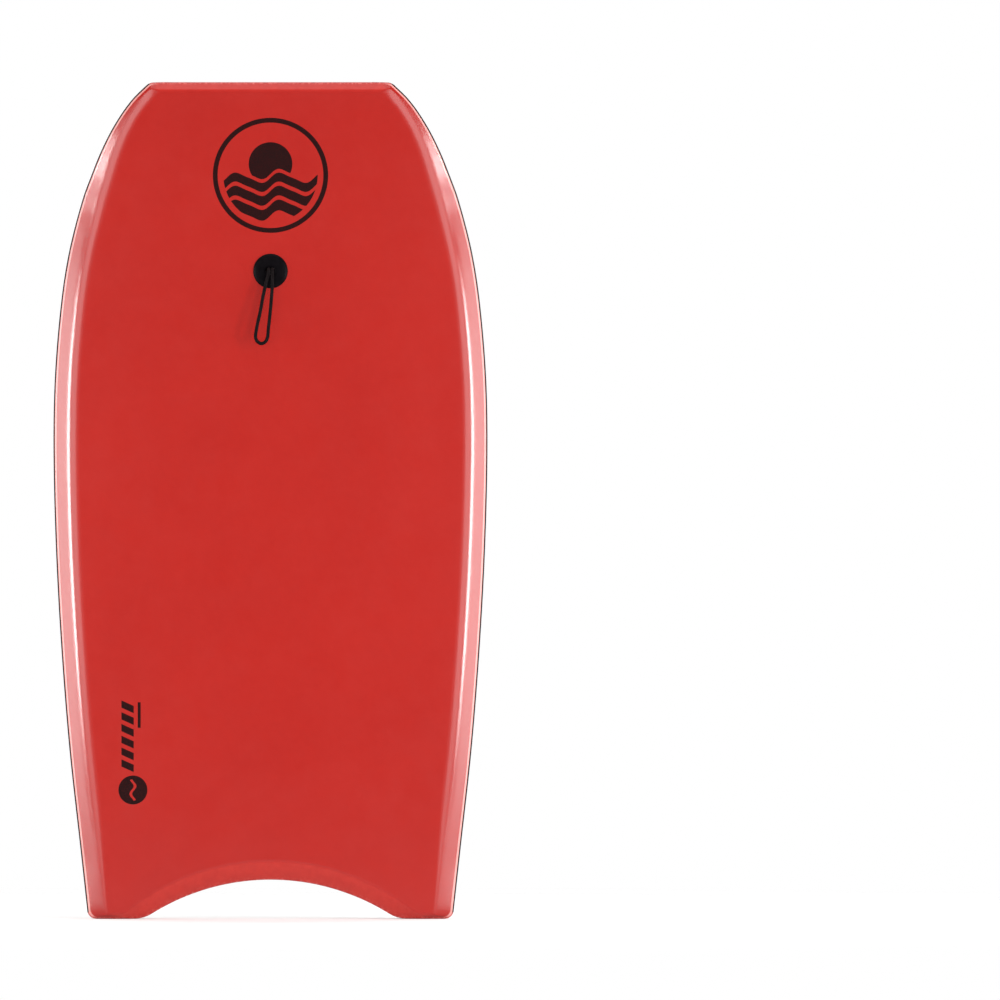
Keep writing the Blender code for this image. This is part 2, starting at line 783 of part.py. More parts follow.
def build_cap():
    """Domed cap with a bored, ridged post."""
    profile = [(PLUG_BORE_RADIUS, 1.2), (6.3, 2.9), (7.6, 3.3), (11.0, 3.4), (15.5, 3.0)]
    profile += [(19.0, 2.1), (20.6, 1.2), (PLUG_RADIUS, 0.6), (PLUG_RADIUS, GAP)]
    profile.append((POST_RADIUS, GAP))
    for i in range(RIDGE_COUNT):
        up = RIDGE_TOP - i * RIDGE_PITCH
        profile += [
            (POST_RADIUS, up),
            (POST_RADIUS + RIDGE, up - 0.6),
            (POST_RADIUS + RIDGE, up - 1.0),
            (POST_RADIUS, up - 1.6),
        ]
    profile += [(POST_RADIUS, POST_END), (PLUG_BORE_RADIUS, POST_END)]
    return turned("plug_cap", profile)


def build_anchor():
    """Sleeve round the cap's post, with a flange at its closed inner end."""
    bore = POST_RADIUS + RIDGE + GAP + 0.05
    profile = [
        (0.0, -40.0),
        (bore, -40.0),
        (bore, -0.9),
        (bore + 0.3, -0.5),
        (ANCHOR_RADIUS - 0.3, -0.5),
        (ANCHOR_RADIUS, -0.9),
        (ANCHOR_RADIUS, -42.6),
        (12.2, FLANGE_TOP),
        (FLANGE_RADIUS - 0.4, FLANGE_TOP),
        (FLANGE_RADIUS, -43.6),
        (FLANGE_RADIUS, -45.6),
        (FLANGE_RADIUS - 0.4, -45.9),
        (0.0, -45.9),
    ]
    return turned("plug_anchor", profile)


# ---------------------------------------------------------------- cord
def smooth_path(points, per_span):
    """A Catmull-Rom path through points."""
    points = [Vector(point) for point in points]
    last = len(points) - 1
    path = []
    for i in range(last):
        before, start = points[max(i - 1, 0)], points[i]
        end, after = points[i + 1], points[min(i + 2, last)]
        for k in range(per_span):
            t = k / per_span
            path.append(
                0.5
                * (
                    2 * start
                    + (end - before) * t
                    + (2 * before - 5 * start + 4 * end - after) * t * t
                    + (3 * start - before - 3 * end + after) * t**3
                )
            )
    path.append(points[-1])
    return path


def cord(name, path, collection=PARTS):
    """A round cord along a path of world points, as a mesh with its caps welded on."""
    curve = bpy.data.curves.new(name, "CURVE")
    curve.dimensions = "3D"
    curve.bevel_depth = CORD_RADIUS / 1000.0
    curve.bevel_resolution = 2
    curve.use_fill_caps = True
    spline = curve.splines.new("POLY")
    spline.points.add(len(path) - 1)
    for spline_point, point in zip(spline.points, path):
        spline_point.co = (*point, 1.0)
    tube = link_object(name, curve, collection=collection)
    bpy.context.view_layer.update()
    depsgraph = bpy.context.evaluated_depsgraph_get()
    mesh = bpy.data.meshes.new_from_object(tube.evaluated_get(depsgraph))
    bpy.data.objects.remove(tube, do_unlink=True)

    bm = bmesh.new()
    bm.from_mesh(mesh)
    bmesh.ops.remove_doubles(bm, verts=bm.verts, dist=1e-5)
    bmesh.ops.recalc_face_normals(bm, faces=bm.faces)
    bm.to_mesh(mesh)
    bm.free()
    mesh.materials.clear()
    return link_object(name, mesh, "cord_black", collection)


def build_knot():
    """The knot inside the plug, joined to the two strands that come out of it."""
    bm = bmesh.new()
    bmesh.ops.create_uvsphere(bm, u_segments=20, v_segments=12, radius=KNOT_RADIUS / 1000.0)
    bmesh.ops.scale(bm, vec=(1.0, 0.95, 1.0), verts=bm.verts)
    knot = link_bmesh("cord_knot", bm, "cord_black")
    knot.location = plug_point(0.0, KNOT_HEIGHT, 0.0)
    for side, name in ((-1, "strand_left"), (1, "strand_right")):
        points = [plug_point(side * STRAND_X, up, along) for up, along in STRAND]
        strand = cord(name, smooth_path(points, 2), CUTTERS)
        combine(knot, strand, name, "UNION")
    return knot


def build_loop():
    """The free loop, from the bend outside the plug round and back."""
    left = [(x, up, along) for x, _, up, along in CORD_LOOP]
    right = [(x, up, along) for _, x, up, along in CORD_LOOP]
    points = [
        plug_point(x, HINGE_UP + up, along)
        for x, up, along in left + [CORD_LOOP_END] + right[::-1]
    ]
    return cord("cord_loop", smooth_path(points, 3))


def attach(child, parent):
    """Parent without moving the child; the parent's world matrix must be up to date."""
    child.parent = parent
    child.matrix_parent_inverse = parent.matrix_world.inverted()


def build_cord():
    """The knotted end swivels in the plug, the loop swings on it."""
    swivel = link_object("cord_swivel_axis", None)
    swivel.location = plug_point(0.0, 0.0, 0.0)
    lift = link_object("cord_lift_axis", None)
    lift.location = (0.0, -HINGE_UP / 1000.0, HINGE_Z / 1000.0)
    lift.parent = swivel
    knot = build_knot()
    loop = build_loop()
    bpy.context.view_layer.update()
    attach(knot, swivel)
    attach(loop, lift)
    return [knot, loop]


def main():
    core = build_core()
    skin = build_skin()
    build_slick()
    cut_plug_hole(skin, core)
    build_rails()
    build_nose_strip()
    build_tail_strip()
    for ob in [build_cap(), build_anchor()] + build_cord():
        ob.data.shade_smooth()
        ob.data.set_sharp_from_angle(angle=math.radians(40.0))
    for ob in CUTTERS.objects:
        ob.hide_render = True
        ob.display_type = "WIRE"


main()
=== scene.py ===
"""A bodyboard standing on its tail: fine surfaces over the fixed frame, materials and stage.

The board stands along +Z, from the tail tips at z = 0 to the nose, with X across it. The deck
faces -Y and the slick bottom +Y. The curves are in millimetres: an "inset" is measured in from
the outline, and a "depth" from the deck towards the slick.
"""

import math
from functools import cached_property

import bmesh
import bpy
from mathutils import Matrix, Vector, noise


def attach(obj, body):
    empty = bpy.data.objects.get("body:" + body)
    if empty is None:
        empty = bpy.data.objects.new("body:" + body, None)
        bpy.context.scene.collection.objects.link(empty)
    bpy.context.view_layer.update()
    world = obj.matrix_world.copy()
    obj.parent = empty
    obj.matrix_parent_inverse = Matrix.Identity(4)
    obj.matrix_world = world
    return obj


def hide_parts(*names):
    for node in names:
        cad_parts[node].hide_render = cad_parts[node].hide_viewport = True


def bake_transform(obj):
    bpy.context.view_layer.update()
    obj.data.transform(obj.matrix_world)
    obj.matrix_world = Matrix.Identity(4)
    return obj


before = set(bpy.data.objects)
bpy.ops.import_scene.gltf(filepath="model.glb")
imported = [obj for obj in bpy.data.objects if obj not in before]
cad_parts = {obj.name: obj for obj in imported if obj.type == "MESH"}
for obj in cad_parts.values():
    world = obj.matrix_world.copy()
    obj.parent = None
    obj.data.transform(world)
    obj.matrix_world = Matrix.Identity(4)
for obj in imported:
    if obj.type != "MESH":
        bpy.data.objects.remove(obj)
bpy.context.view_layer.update()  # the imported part: bodies, nodes and joints of the bodyboard

# ---------------------------------------------------------------- the board's dimensions (mm)
LENGTH = 1016.0
THICKNESS = 53.0
GAP = 0.3  # between neighbouring pieces
# the outline: (z, half width)
TEMPLATE = (
    (-60.0, 215.2), (0.0, 221.4), (84.0, 230.6), (205.0, 244.0), (326.0, 253.7),
    (448.0, 260.4), (569.0, 263.4), (660.0, 261.6), (751.0, 253.8), (812.0, 244.0),
    (873.0, 228.2), (903.0, 217.3), (933.0, 205.2), (964.0, 189.4), (994.0, 168.9),
    (1016.0, 146.9), (1060.0, 102.0),
)
# the nose bends towards the deck's side from here on
ROCKER_START = 810.0
DECK_KICK = 28.0
SLICK_KICK = 50.0
# sheets
SKIN = 6.0
SLICK = 1.5
SKIN_EDGE = 1.5  # inset of the skin's side edge
# the deck's bevel along the sides: width and depth
CHINE_W, CHINE_W_NOSE = 21.0, 11.0
CHINE_D, CHINE_D_NOSE, CHINE_D_TAIL = 15.0, 8.0, 12.5
# rails and end strips
RAIL_W, RAIL_W_NOSE = 25.5, 16.0
INNER_RAIL = 3.0
NOSE_STRIP = 8.0
TAIL_STRIP = 7.0
NOSE_BEVEL_W = 10.0
# the crescent tail: an arc, rounded into the tips
CRESCENT_R = 272.0
CRESCENT_RISE = 47.3
SHOULDER_R = 40.0
# the inner edge of the tail's bevel, and the bevel's least width
BEVEL_R = 282.0
BEVEL_RISE = 69.3
TIP_BEVEL = 6.0
TIP_BEVEL_D, BEVEL_D_MORE = 8.0, 6.0
NOSE_CORNER_R = 12.0
TAIL_CORNER_R = 9.0
# plug and cord
PLUG_Z = 786.6
PLUG_R = 21.0
PLUG_HOLE_R = 11.9  # in the deck skin
POST_R = 7.9
PLUG_BORE_R = 4.5
CORD_R = 2.1
HINGE_UP = 8.0
# tail channels in the slick: (x, z) of both ends of the middle line
CHANNEL_TOP = (169.0, 176.0)
CHANNEL_END = (141.0, 8.0)
CHANNEL_W = 19.0
CHANNEL_D = 2.6
DECK_FRONT = 24.83  # reach of the kicked nose in front of the flat deck
Y_SHIFT = -(THICKNESS - DECK_FRONT) / 2.0
EMBLEM_R = 70.0

# fine stations: distances from the tail end and the nose end, rows in z, shares of the width
CORNER_UP = (0.0, 0.3, 0.9, 1.9, 3.2, 4.9, 6.9, 9.0)
CORNER_DOWN = (3.6, 3.0, 2.4, 1.8, 1.2, 0.8, 0.4, 0.15, 0.0)
SIDE_ROWS = (
    [20.0, 26.0]
    + [34.0 + 8.0 * k for k in range(96)]
    + [800.0 + 6.0 * k for k in range(32)]
    + [992.0]
)
FIRST_ROW = 118.0  # the grid's rows run straight across from here up
TAIL_SPAN = 190.0
DECK_COLUMNS = [k / 36.0 for k in range(35)] + [0.974, 1.0]
SLICK_COLUMNS = (
    [0.03 * k for k in range(21)]
    + [0.61 + 0.0092 * k for k in range(31)]
    + [0.905, 0.93, 0.955, 0.975, 1.0]
)


# ---------------------------------------------------------------- curves of the board
def smooth(t):
    t = min(1.0, max(0.0, t))
    return t * t * (3.0 - 2.0 * t)


def half_width(z):
    """The outline: a smooth cubic through the template's points."""
    i = 0
    while i < len(TEMPLATE) - 2 and z > TEMPLATE[i + 1][0]:
        i += 1

    def tangent(k):
        a, b = max(k - 1, 0), min(k + 1, len(TEMPLATE) - 1)
        return (TEMPLATE[b][1] - TEMPLATE[a][1]) / (TEMPLATE[b][0] - TEMPLATE[a][0])

    (z0, width0), (z1, width1) = TEMPLATE[i], TEMPLATE[i + 1]
    span = z1 - z0
    t = (z - z0) / span
    return (
        (2 * t**3 - 3 * t**2 + 1) * width0
        + (t**3 - 2 * t**2 + t) * span * tangent(i)
        + (3 * t**2 - 2 * t**3) * width1
        + (t**3 - t**2) * span * tangent(i + 1)
    )


def outline_slope(z):
    return half_width(z + 0.5) - half_width(z - 0.5)


def inset_width(z, inset):
    """Half width at z of the outline moved in square to itself."""
    if inset == 0.0:
        return half_width(z)
    low, high = z - 40.0, z + 40.0
    for _ in range(24):
        middle = (low + high) / 2.0
        slope = outline_slope(middle)
        if middle + inset * slope / math.sqrt(1.0 + slope * slope) < z:
            low = middle
        else:
            high = middle
    middle = (low + high) / 2.0
    slope = outline_slope(middle)
    return half_width(middle) - inset / math.sqrt(1.0 + slope * slope)


def corner_cut(up, down):
    """What the rounded corners take off the half width, up from the tail, down from the nose."""
    cut = 0.0
    radius = TAIL_CORNER_R
    if up < radius:
        cut += radius - math.sqrt(max(0.0, radius * radius - (radius - up) ** 2))
    radius = NOSE_CORNER_R
    reach = radius * math.tan(math.radians(22.5))
    if down < CORNER_DOWN[0]:
        arc = math.sqrt(radius * radius - (radius - down) ** 2)
        cut += max(0.0, 1.02 * down + reach - arc)
    return cut


def side_x(z, inset, tail_end=0.0, nose_end=LENGTH):
    share = max(0.06, 1.0 - inset / 27.0)
    return inset_width(z, inset) - share * corner_cut(z - tail_end, nose_end - z)


def rocker(z):
    return max(0.0, (z - ROCKER_START) / (LENGTH - ROCKER_START)) ** 2


def deck_y(z):
    return -DECK_KICK * rocker(z)


def thick(z):
    return THICKNESS - (SLICK_KICK - DECK_KICK) * rocker(z)


def chine_w(z):
    return CHINE_W + (CHINE_W_NOSE - CHINE_W) * smooth((z - 850.0) / 166.0)


def chine_d(z):
    depth = CHINE_D + (CHINE_D_NOSE - CHINE_D) * smooth((z - 800.0) / 216.0)
    return depth + (CHINE_D_TAIL - CHINE_D) * (1.0 - smooth(z / 70.0))


def rail_w(z):
    return RAIL_W + (RAIL_W_NOSE - RAIL_W) * smooth((z - 700.0) / 316.0)


def rail_slope(z):
    return (rail_w(z) - 2.5) / (thick(z) - 1.7 - chine_d(z) - 2.8)


def rail_line(z, depth):
    """Inset of the slanting joint between the outer and inner rail."""
    return 2.5 + rail_slope(z) * (depth - chine_d(z) - 2.8)


def core_line(z, depth):
    return rail_line(z, depth) + INNER_RAIL + 0.4


def crescent(x):
    """Height of the tail's edge above the tips."""
    centre = CRESCENT_RISE - CRESCENT_R
    shoulder_x = math.sqrt((CRESCENT_R + SHOULDER_R) ** 2 - (SHOULDER_R - centre) ** 2)
    touch = shoulder_x * CRESCENT_R / (CRESCENT_R + SHOULDER_R)
    if x <= touch:
        return centre + math.sqrt(CRESCENT_R**2 - x * x)
    if x < shoulder_x:
        return SHOULDER_R - math.sqrt(SHOULDER_R**2 - (shoulder_x - x) ** 2)
    return 0.0


def tail_stretch(x):
    """Turns an inset square to the crescent into a distance along z."""
    slope = (crescent(x + 0.5) - crescent(max(0.0, x - 0.5))) / (0.5 + min(x, 0.5))
    return math.sqrt(1.0 + slope * slope)


def tail_z(x, inset):
    return crescent(x) + inset * tail_stretch(x)


def bevel_arc_inset(x):
    """Inset from the crescent to the arc that bounds the tail's bevel."""
    edge = BEVEL_RISE - BEVEL_R + math.sqrt(BEVEL_R**2 - x * x)
    return (edge - crescent(x)) / tail_stretch(x) - 0.4


def bevel_w(x):
    wide = bevel_arc_inset(x)
    # a soft lower limit, so that the bevel's edge has no kink where it meets the tip
    return 0.5 * (wide + TIP_BEVEL + math.sqrt((wide - TIP_BEVEL) ** 2 + 1.0))


def bevel_d(x):
    wide = max(bevel_arc_inset(x), TIP_BEVEL)
    share = min(1.0, max(0.0, (wide - TIP_BEVEL) / 15.5))
    return TIP_BEVEL_D + BEVEL_D_MORE * share**0.8


def channel_depth(x, z):
    """Depth of the tail channels below the slick's face."""
    (x0, z0), (x1, z1) = CHANNEL_TOP, CHANNEL_END
    along = (z0 - z) / (z0 - z1)
    if along <= 0.0:
        return 0.0
    middle = x0 + (x1 - x0) * along
    half = CHANNEL_W / 2.0 * along
    floor = 0.28 * half
    wall = (abs(abs(x) - middle) - floor) / max(half - floor, 0.01)
    return CHANNEL_D * along * (1.0 - smooth(wall))


def to_world(x, depth, z):
    return (x / 1000.0, (deck_y(z) + depth + Y_SHIFT) / 1000.0, z / 1000.0)


# ---------------------------------------------------------------- mesh helpers
def make_object(name, verts, faces, attributes=None, angle=40.0):
    """A mesh object with its normals out; attributes are per point."""
    mesh = bpy.data.meshes.new(name)
    mesh.from_pydata([tuple(v) for v in verts], [], faces)
    for key, values in (attributes or {}).items():
        attribute = mesh.attributes.new(key, "FLOAT", "POINT")
        attribute.data.foreach_set("value", values)
    bm = bmesh.new()
    bm.from_mesh(mesh)
    bmesh.ops.recalc_face_normals(bm, faces=bm.faces)
    bm.to_mesh(mesh)
    bm.free()
    mesh.shade_smooth()
    mesh.set_sharp_from_angle(angle=math.radians(angle))
    mesh.update()
    ob = bpy.data.objects.new(name, mesh)
    bpy.context.scene.collection.objects.link(ob)
    return ob


def smooth_curve(points, per_span=8):
    """A Catmull-Rom curve through the points."""
    out = []
    count = len(points)
    for i in range(count - 1):
        p0 = Vector(points[max(i - 1, 0)])
        p1, p2 = Vector(points[i]), Vector(points[i + 1])
        p3 = Vector(points[min(i + 2, count - 1)])
        for k in range(per_span):
            t = k / per_span
            out.append(
                0.5
                * (
                    2 * p1
                    + (p2 - p0) * t
                    + (2 * p0 - 5 * p1 + 4 * p2 - p3) * t * t
                    + (3 * p1 - p0 - 3 * p2 + p3) * t**3
                )
            )
    out.append(Vector(points[-1]))
    return out


class Contour:
    """Half of a closed contour round the board, from the tail's centre to the nose's.

    side(z) and tail(x) give (inset, depth); nose is one such pair.
    """

    def __init__(self, side, tail, nose, columns):
        self.columns = columns
        nose_inset, nose_depth = nose
        xs = [c * TAIL_SPAN for c in columns[:-1]]
        tail_end = tail(xs[-1])[0]
        nose_end = LENGTH - nose_inset
        self.points, self.kinds = [], []
        for x in xs:
            inset, depth = tail(x)
            self.points.append((x, depth, tail_z(x, inset)))
            self.kinds.append("tail")
        self.first_side = len(self.points)
        rows = [tail_end + up for up in CORNER_UP] + SIDE_ROWS
        last = nose_end - CORNER_DOWN[0] - SIDE_ROWS[-1]
        rows += [SIDE_ROWS[-1] + share * last for share in (0.25, 0.5, 0.75)]
        rows += [nose_end - down for down in CORNER_DOWN]
        for z in rows:
            inset, depth = side(z)
            near = smooth((z - (nose_end - 14.0)) / 14.0)
            depth = depth + (nose_depth - depth) * near
            self.points.append((side_x(z, inset, tail_end, nose_end), depth, z))
            self.kinds.append("side")
        self.last_side = len(self.points) - 1
        x, depth, z = self.points[-1]
        for c in columns[-2::-1]:
            self.points.append((c * x, depth, z))
            self.kinds.append("nose")

    def inside(self):
        """Rows of points that fill the contour's half: each row from the centre line out,
        without its last point, which is the contour's own. Returns rows and, for each, the
        contour index at its end."""
        first, last = self.first_side, self.last_side
        columns = self.columns[:-1]
        start = next(k for k in range(first, last) if self.points[k][2] >= FIRST_ROW)
        top_x, _, top_z = self.points[start]
        corner_x, _, corner_z = self.points[first]
        centre_z = self.points[0][2]
        rows, ends = [], []
        # a Coons patch between the crescent, the side and the first straight row
        for k in range(first + 1, start):
            right_x, depth, right_z = self.points[k]
            t = (right_z - corner_z) / (top_z - corner_z)
            left_z = centre_z + (top_z - centre_z) * t
            row = []
            for j, s in enumerate(columns):
                low_x, _, low_z = self.points[j]
                x = (1 - t) * low_x + t * (s * top_x) + s * right_x
                x -= s * ((1 - t) * corner_x + t * top_x)
                z = (1 - t) * low_z + t * top_z + (1 - s) * left_z + s * right_z
                z -= (1 - s) * ((1 - t) * centre_z + t * top_z)
                z -= s * ((1 - t) * corner_z + t * top_z)
                row.append((x, depth, z))
            rows.append(row)
            ends.append(k)
        for k in range(start, last):
            x, depth, z = self.points[k]
            rows.append([(s * x, depth, z) for s in columns])
            ends.append(k)
        return rows, ends


def shell(name, rings, values):
    """A closed solid between a stack of contours, with its first and last faces filled by a
    fine grid. values gives the contours' point attributes from (ring, kind, z)."""
    verts, faces = [], []
    attributes = {"rim": [], "line": [], "cut": []}

    def add(point, found):
        verts.append(point)
        for key, column in attributes.items():
            column.append(found.get(key, 0.0))
        return len(verts) - 1

    index = [
        [add(p, values(i, kind, p[2])) for p, kind in zip(ring.points, ring.kinds)]
        for i, ring in enumerate(rings)
    ]
    for up, low in zip(index, index[1:]):
        for k in range(len(up) - 1):
            faces.append((up[k], low[k], low[k + 1], up[k + 1]))

    for which in (0, -1):
        ring, outline = rings[which], index[which]
        rows, ends = ring.inside()
        count = len(ring.columns) - 1
        grid = [outline[:count] + [outline[ring.first_side]]]
        for row, end in zip(rows, ends):
            grid.append([add(point, {}) for point in row] + [outline[end]])
        grid.append(outline[ring.last_side :][::-1])
        for a, b in zip(grid, grid[1:]):
            for j in range(count):
                face = (a[j], a[j + 1], b[j + 1], b[j])
                faces.append(face if which == 0 else face[::-1])

    # the other half
    other = {}
    for i in range(len(verts)):
        x, depth, z = verts[i]
        if abs(x) < 1e-6:
            other[i] = i
        else:
            other[i] = len(verts)
            verts.append((-x, depth, z))
            for column in attributes.values():
                column.append(column[i])
    faces += [tuple(other[i] for i in face[::-1]) for face in faces]
    return make_object(name, [to_world(*v) for v in verts], faces, attributes)


def rounded(points, reach, cuts, steps=4):
    """A closed section with each corner turned into a short curve, reach long on both
    sides. cuts adds points along the edge that follows a corner."""
    out, corners = [], []
    count = len(points)
    for i in range(count):
        p, a, b = Vector(points[i]), Vector(points[i - 1]), Vector(points[(i + 1) % count])
        before = min(reach[i], 0.45 * (a - p).length)
        after = min(reach[i], 0.45 * (b - p).length)
        corners.append((p + (a - p).normalized() * before, p, p + (b - p).normalized() * after))
    for i, (start, p, end) in enumerate(corners):
        for k in range(steps + 1):
            t = k / steps
            out.append(tuple((1 - t) ** 2 * start + 2 * t * (1 - t) * p + t * t * end))
        following = corners[(i + 1) % count][0]
        for k in range(1, cuts[i] + 1):
            out.append(tuple(end + (following - end) * (k / (cuts[i] + 1.0))))
    return out


def sweep(name, rows):
    """A closed solid through a row of equal sections."""
    verts = [p for row in rows for p in row]
    n = len(rows[0])
    faces = []
    for r in range(len(rows) - 1):
        for k in range(n):
            j = (k + 1) % n
            faces.append((r * n + k, r * n + j, (r + 1) * n + j, (r + 1) * n + k))
    faces.append(tuple(range(n))[::-1])
    faces.append(tuple((len(rows) - 1) * n + k for k in range(n)))
    return make_object(name, verts, faces)


def dress(ob, material, body, slot, *nodes):
    """Gives a piece its material, hides the frame's parts that it stands for and hangs it on the
    body it rides on.
    """
    ob.data.materials.clear()
    ob.data.materials.append(material)
    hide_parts(*nodes)
    if body:
        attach(ob, body)


# ---------------------------------------------------------------- shader helpers
class Signal:
    """A shader node's output; arithmetic on it adds math nodes."""

    def __init__(self, graph, socket):
        self.graph = graph
        self.socket = socket

    def math(self, operation, other=0.0):
        return self.graph.math(operation, self, other)

    def __add__(self, other):
        return self.math("ADD", other)

    def __sub__(self, other):
        return self.math("SUBTRACT", other)

    def __rsub__(self, other):
        return self.graph.math("SUBTRACT", other, self)

    def __mul__(self, other):
        return self.math("MULTIPLY", other)

    def __truediv__(self, other):
        return self.math("DIVIDE", other)

    def max(self, other):
        return self.math("MAXIMUM", other)

    def fit(self, over, to=(0.0, 1.0), interpolation="LINEAR"):
        """Maps the range "over" on the range "to"."""
        inputs = {
            "Value": self, "From Min": over[0], "From Max": over[1],
            "To Min": to[0], "To Max": to[1],
        }
        return self.graph.make("MapRange", inputs, interpolation_type=interpolation)

    def below(self, limit, soft):
        """1 under the limit, 0 above it."""
        return self.fit((limit - soft, limit + soft), (1.0, 0.0), "SMOOTHSTEP")

    def above(self, limit, soft):
        return self.fit((limit - soft, limit + soft), (0.0, 1.0), "SMOOTHSTEP")

    def between(self, low, high, soft):
        return self.above(low, soft) * self.below(high, soft)


class Graph:
    """A node tree and short ways to add nodes to it."""

    def __init__(self, tree):
        self.nodes = tree.nodes
        self.links = tree.links

    def plug(self, socket, value):
        if isinstance(value, Signal):
            self.links.new(value.socket, socket)
        else:
            socket.default_value = value

    def add(self, kind, inputs, **settings):
        node = self.nodes.new("ShaderNode" + kind)
        for key, value in settings.items():
            setattr(node, key, value)
        for key, value in inputs.items():
            self.plug(node.inputs[key], value)
        return node

    def make(self, kind, inputs, output=0, **settings):
        return Signal(self, self.add(kind, inputs, **settings).outputs[output])

    def math(self, operation, first, second):
        return self.make("Math", {0: first, 1: second}, operation=operation)


class Look(Graph):
    """A Principled material; its textures are sized in millimetres."""

    def __init__(self, name):
        self.material = bpy.data.materials.new(name)
        self.material.use_nodes = True
        super().__init__(self.material.node_tree)
        self.bsdf = self.nodes["Principled BSDF"]

    @cached_property
    def mm(self):
        place = self.make("TexCoord", {}, "Object")
        return self.make("VectorMath", {0: place, "Scale": 1000.0}, operation="SCALE")

    @cached_property
    def axes(self):
        return self.add("SeparateXYZ", {0: self.mm}).outputs

    @property
    def x(self):
        return Signal(self, self.axes[0])

    @property
    def z(self):
        return Signal(self, self.axes[2])

    def stretched(self, by):
        return self.make("VectorMath", {0: self.mm, 1: by}, operation="MULTIPLY")

    def noise(self, size, detail=2.0, rough=0.5, distort=0.0, vector=None):
        """Noise whose features are about size millimetres."""
        inputs = {
            "Vector": vector or self.mm, "Scale": 1.0 / size, "Detail": detail,
            "Roughness": rough, "Distortion": distort,
        }
        return self.make("TexNoise", inputs, "Fac")

    def cells(self, size, feature="F1"):
        inputs = {"Vector": self.mm, "Scale": 1.0 / size}
        return self.make("TexVoronoi", inputs, "Distance", feature=feature)

    def mix(self, base, other, share):
        inputs = {0: share, 6: base, 7: other}
        return self.make("Mix", inputs, 2, data_type="RGBA", clamp_factor=True)

    def attribute(self, name):
        return self.make("Attribute", {}, "Fac", attribute_name=name)

    def bump(self, height, distance, strength, under=None):
        """A bump distance millimetres high, on top of the normal under it."""
        inputs = {"Height": height, "Distance": distance / 1000.0, "Strength": strength}
        if under:
            inputs["Normal"] = under
        return self.make("Bump", inputs)

    def finish(self, **inputs):
        for key, value in inputs.items():
            self.plug(self.bsdf.inputs[key.replace("_", " ")], value)
        return self.material


def rgb(red, green, blue):
    """A linear colour from display values of 0 to 255."""

    def linear(c):
        c = c / 255.0
        return c / 12.92 if c <= 0.04045 else ((c + 0.055) / 1.055) ** 2.4

    return (linear(red), linear(green), linear(blue), 1.0)


def radial(across, up):
    return (across * across + up * up).math("SQRT")


# the usual middle part of a noise's range
MIDDLE = (0.3, 0.7)


# ---------------------------------------------------------------- materials
def emblem(look, centre_z):
    """A round emblem: a ring, a sun and three waves, drawn on a radius of 66 units. Returns
    the black and the accent masks."""
    unit = EMBLEM_R / 66.0
    period = 50.0 * unit
    soft = 0.15
    across = look.x
    up = look.z - centre_z
    distance = radial(across, up)
    ring = distance.between(60.5 * unit, EMBLEM_R, soft)
    disc = distance.below(54.0 * unit, soft)
    wave = (across * (2.0 * math.pi / period)).math("SINE") * (5.5 * unit)
    crest = (across * (4.0 * math.pi / period)).math("SINE") * (1.2 * unit)
    height = up - wave - crest
    bands = None
    for middle, half in ((-8.0, 5.2), (-23.5, 5.6), (-40.0, 6.2)):
        band = height.between((middle - half) * unit, (middle + half) * unit, soft)
        bands = bands.max(band) if bands else band
    sun_distance = radial(across, up - 13.0 * unit)
    sun = sun_distance.below(25.0 * unit, soft) * height.above(1.4 * unit, soft)
    black = ring.max(disc * bands)
    return black, disc * sun


def tail_mark(look):
    """The small printed mark near the tail, at -x: a dot, slanting blocks and a bar."""
    soft = 0.12
    # the dot, with a wavy line cut out of it
    across = look.x + 167.0
    up = look.z - 156.5
    distance = radial(across, up)
    wave = (up * (2.0 * math.pi / 19.0)).math("SINE") * 2.6
    line = (across - wave).math("ABSOLUTE")
    cut = line.below(1.7, soft) * distance.below(12.8, soft)
    dot = distance.below(17.6, soft) * (1.0 - cut)
    # the blocks, one in each 14.3 mm of a slanted height
    slant = look.z + (look.x + 173.5) * 0.45
    step = ((slant - 181.0) / 14.3).math("FRACT")
    blocks = step.between(0.04, 0.66, soft=0.012) * look.x.between(-181.0, -166.0, soft)
    blocks = blocks * slant.between(181.0, 266.6, soft=0.1)
    bar = look.x.between(-161.2, -157.6, soft) * look.z.between(232.0, 263.0, soft)
    mark = dot.max(blocks).max(bar)
    return mark * look.x.below(-120.0, soft=1.0)


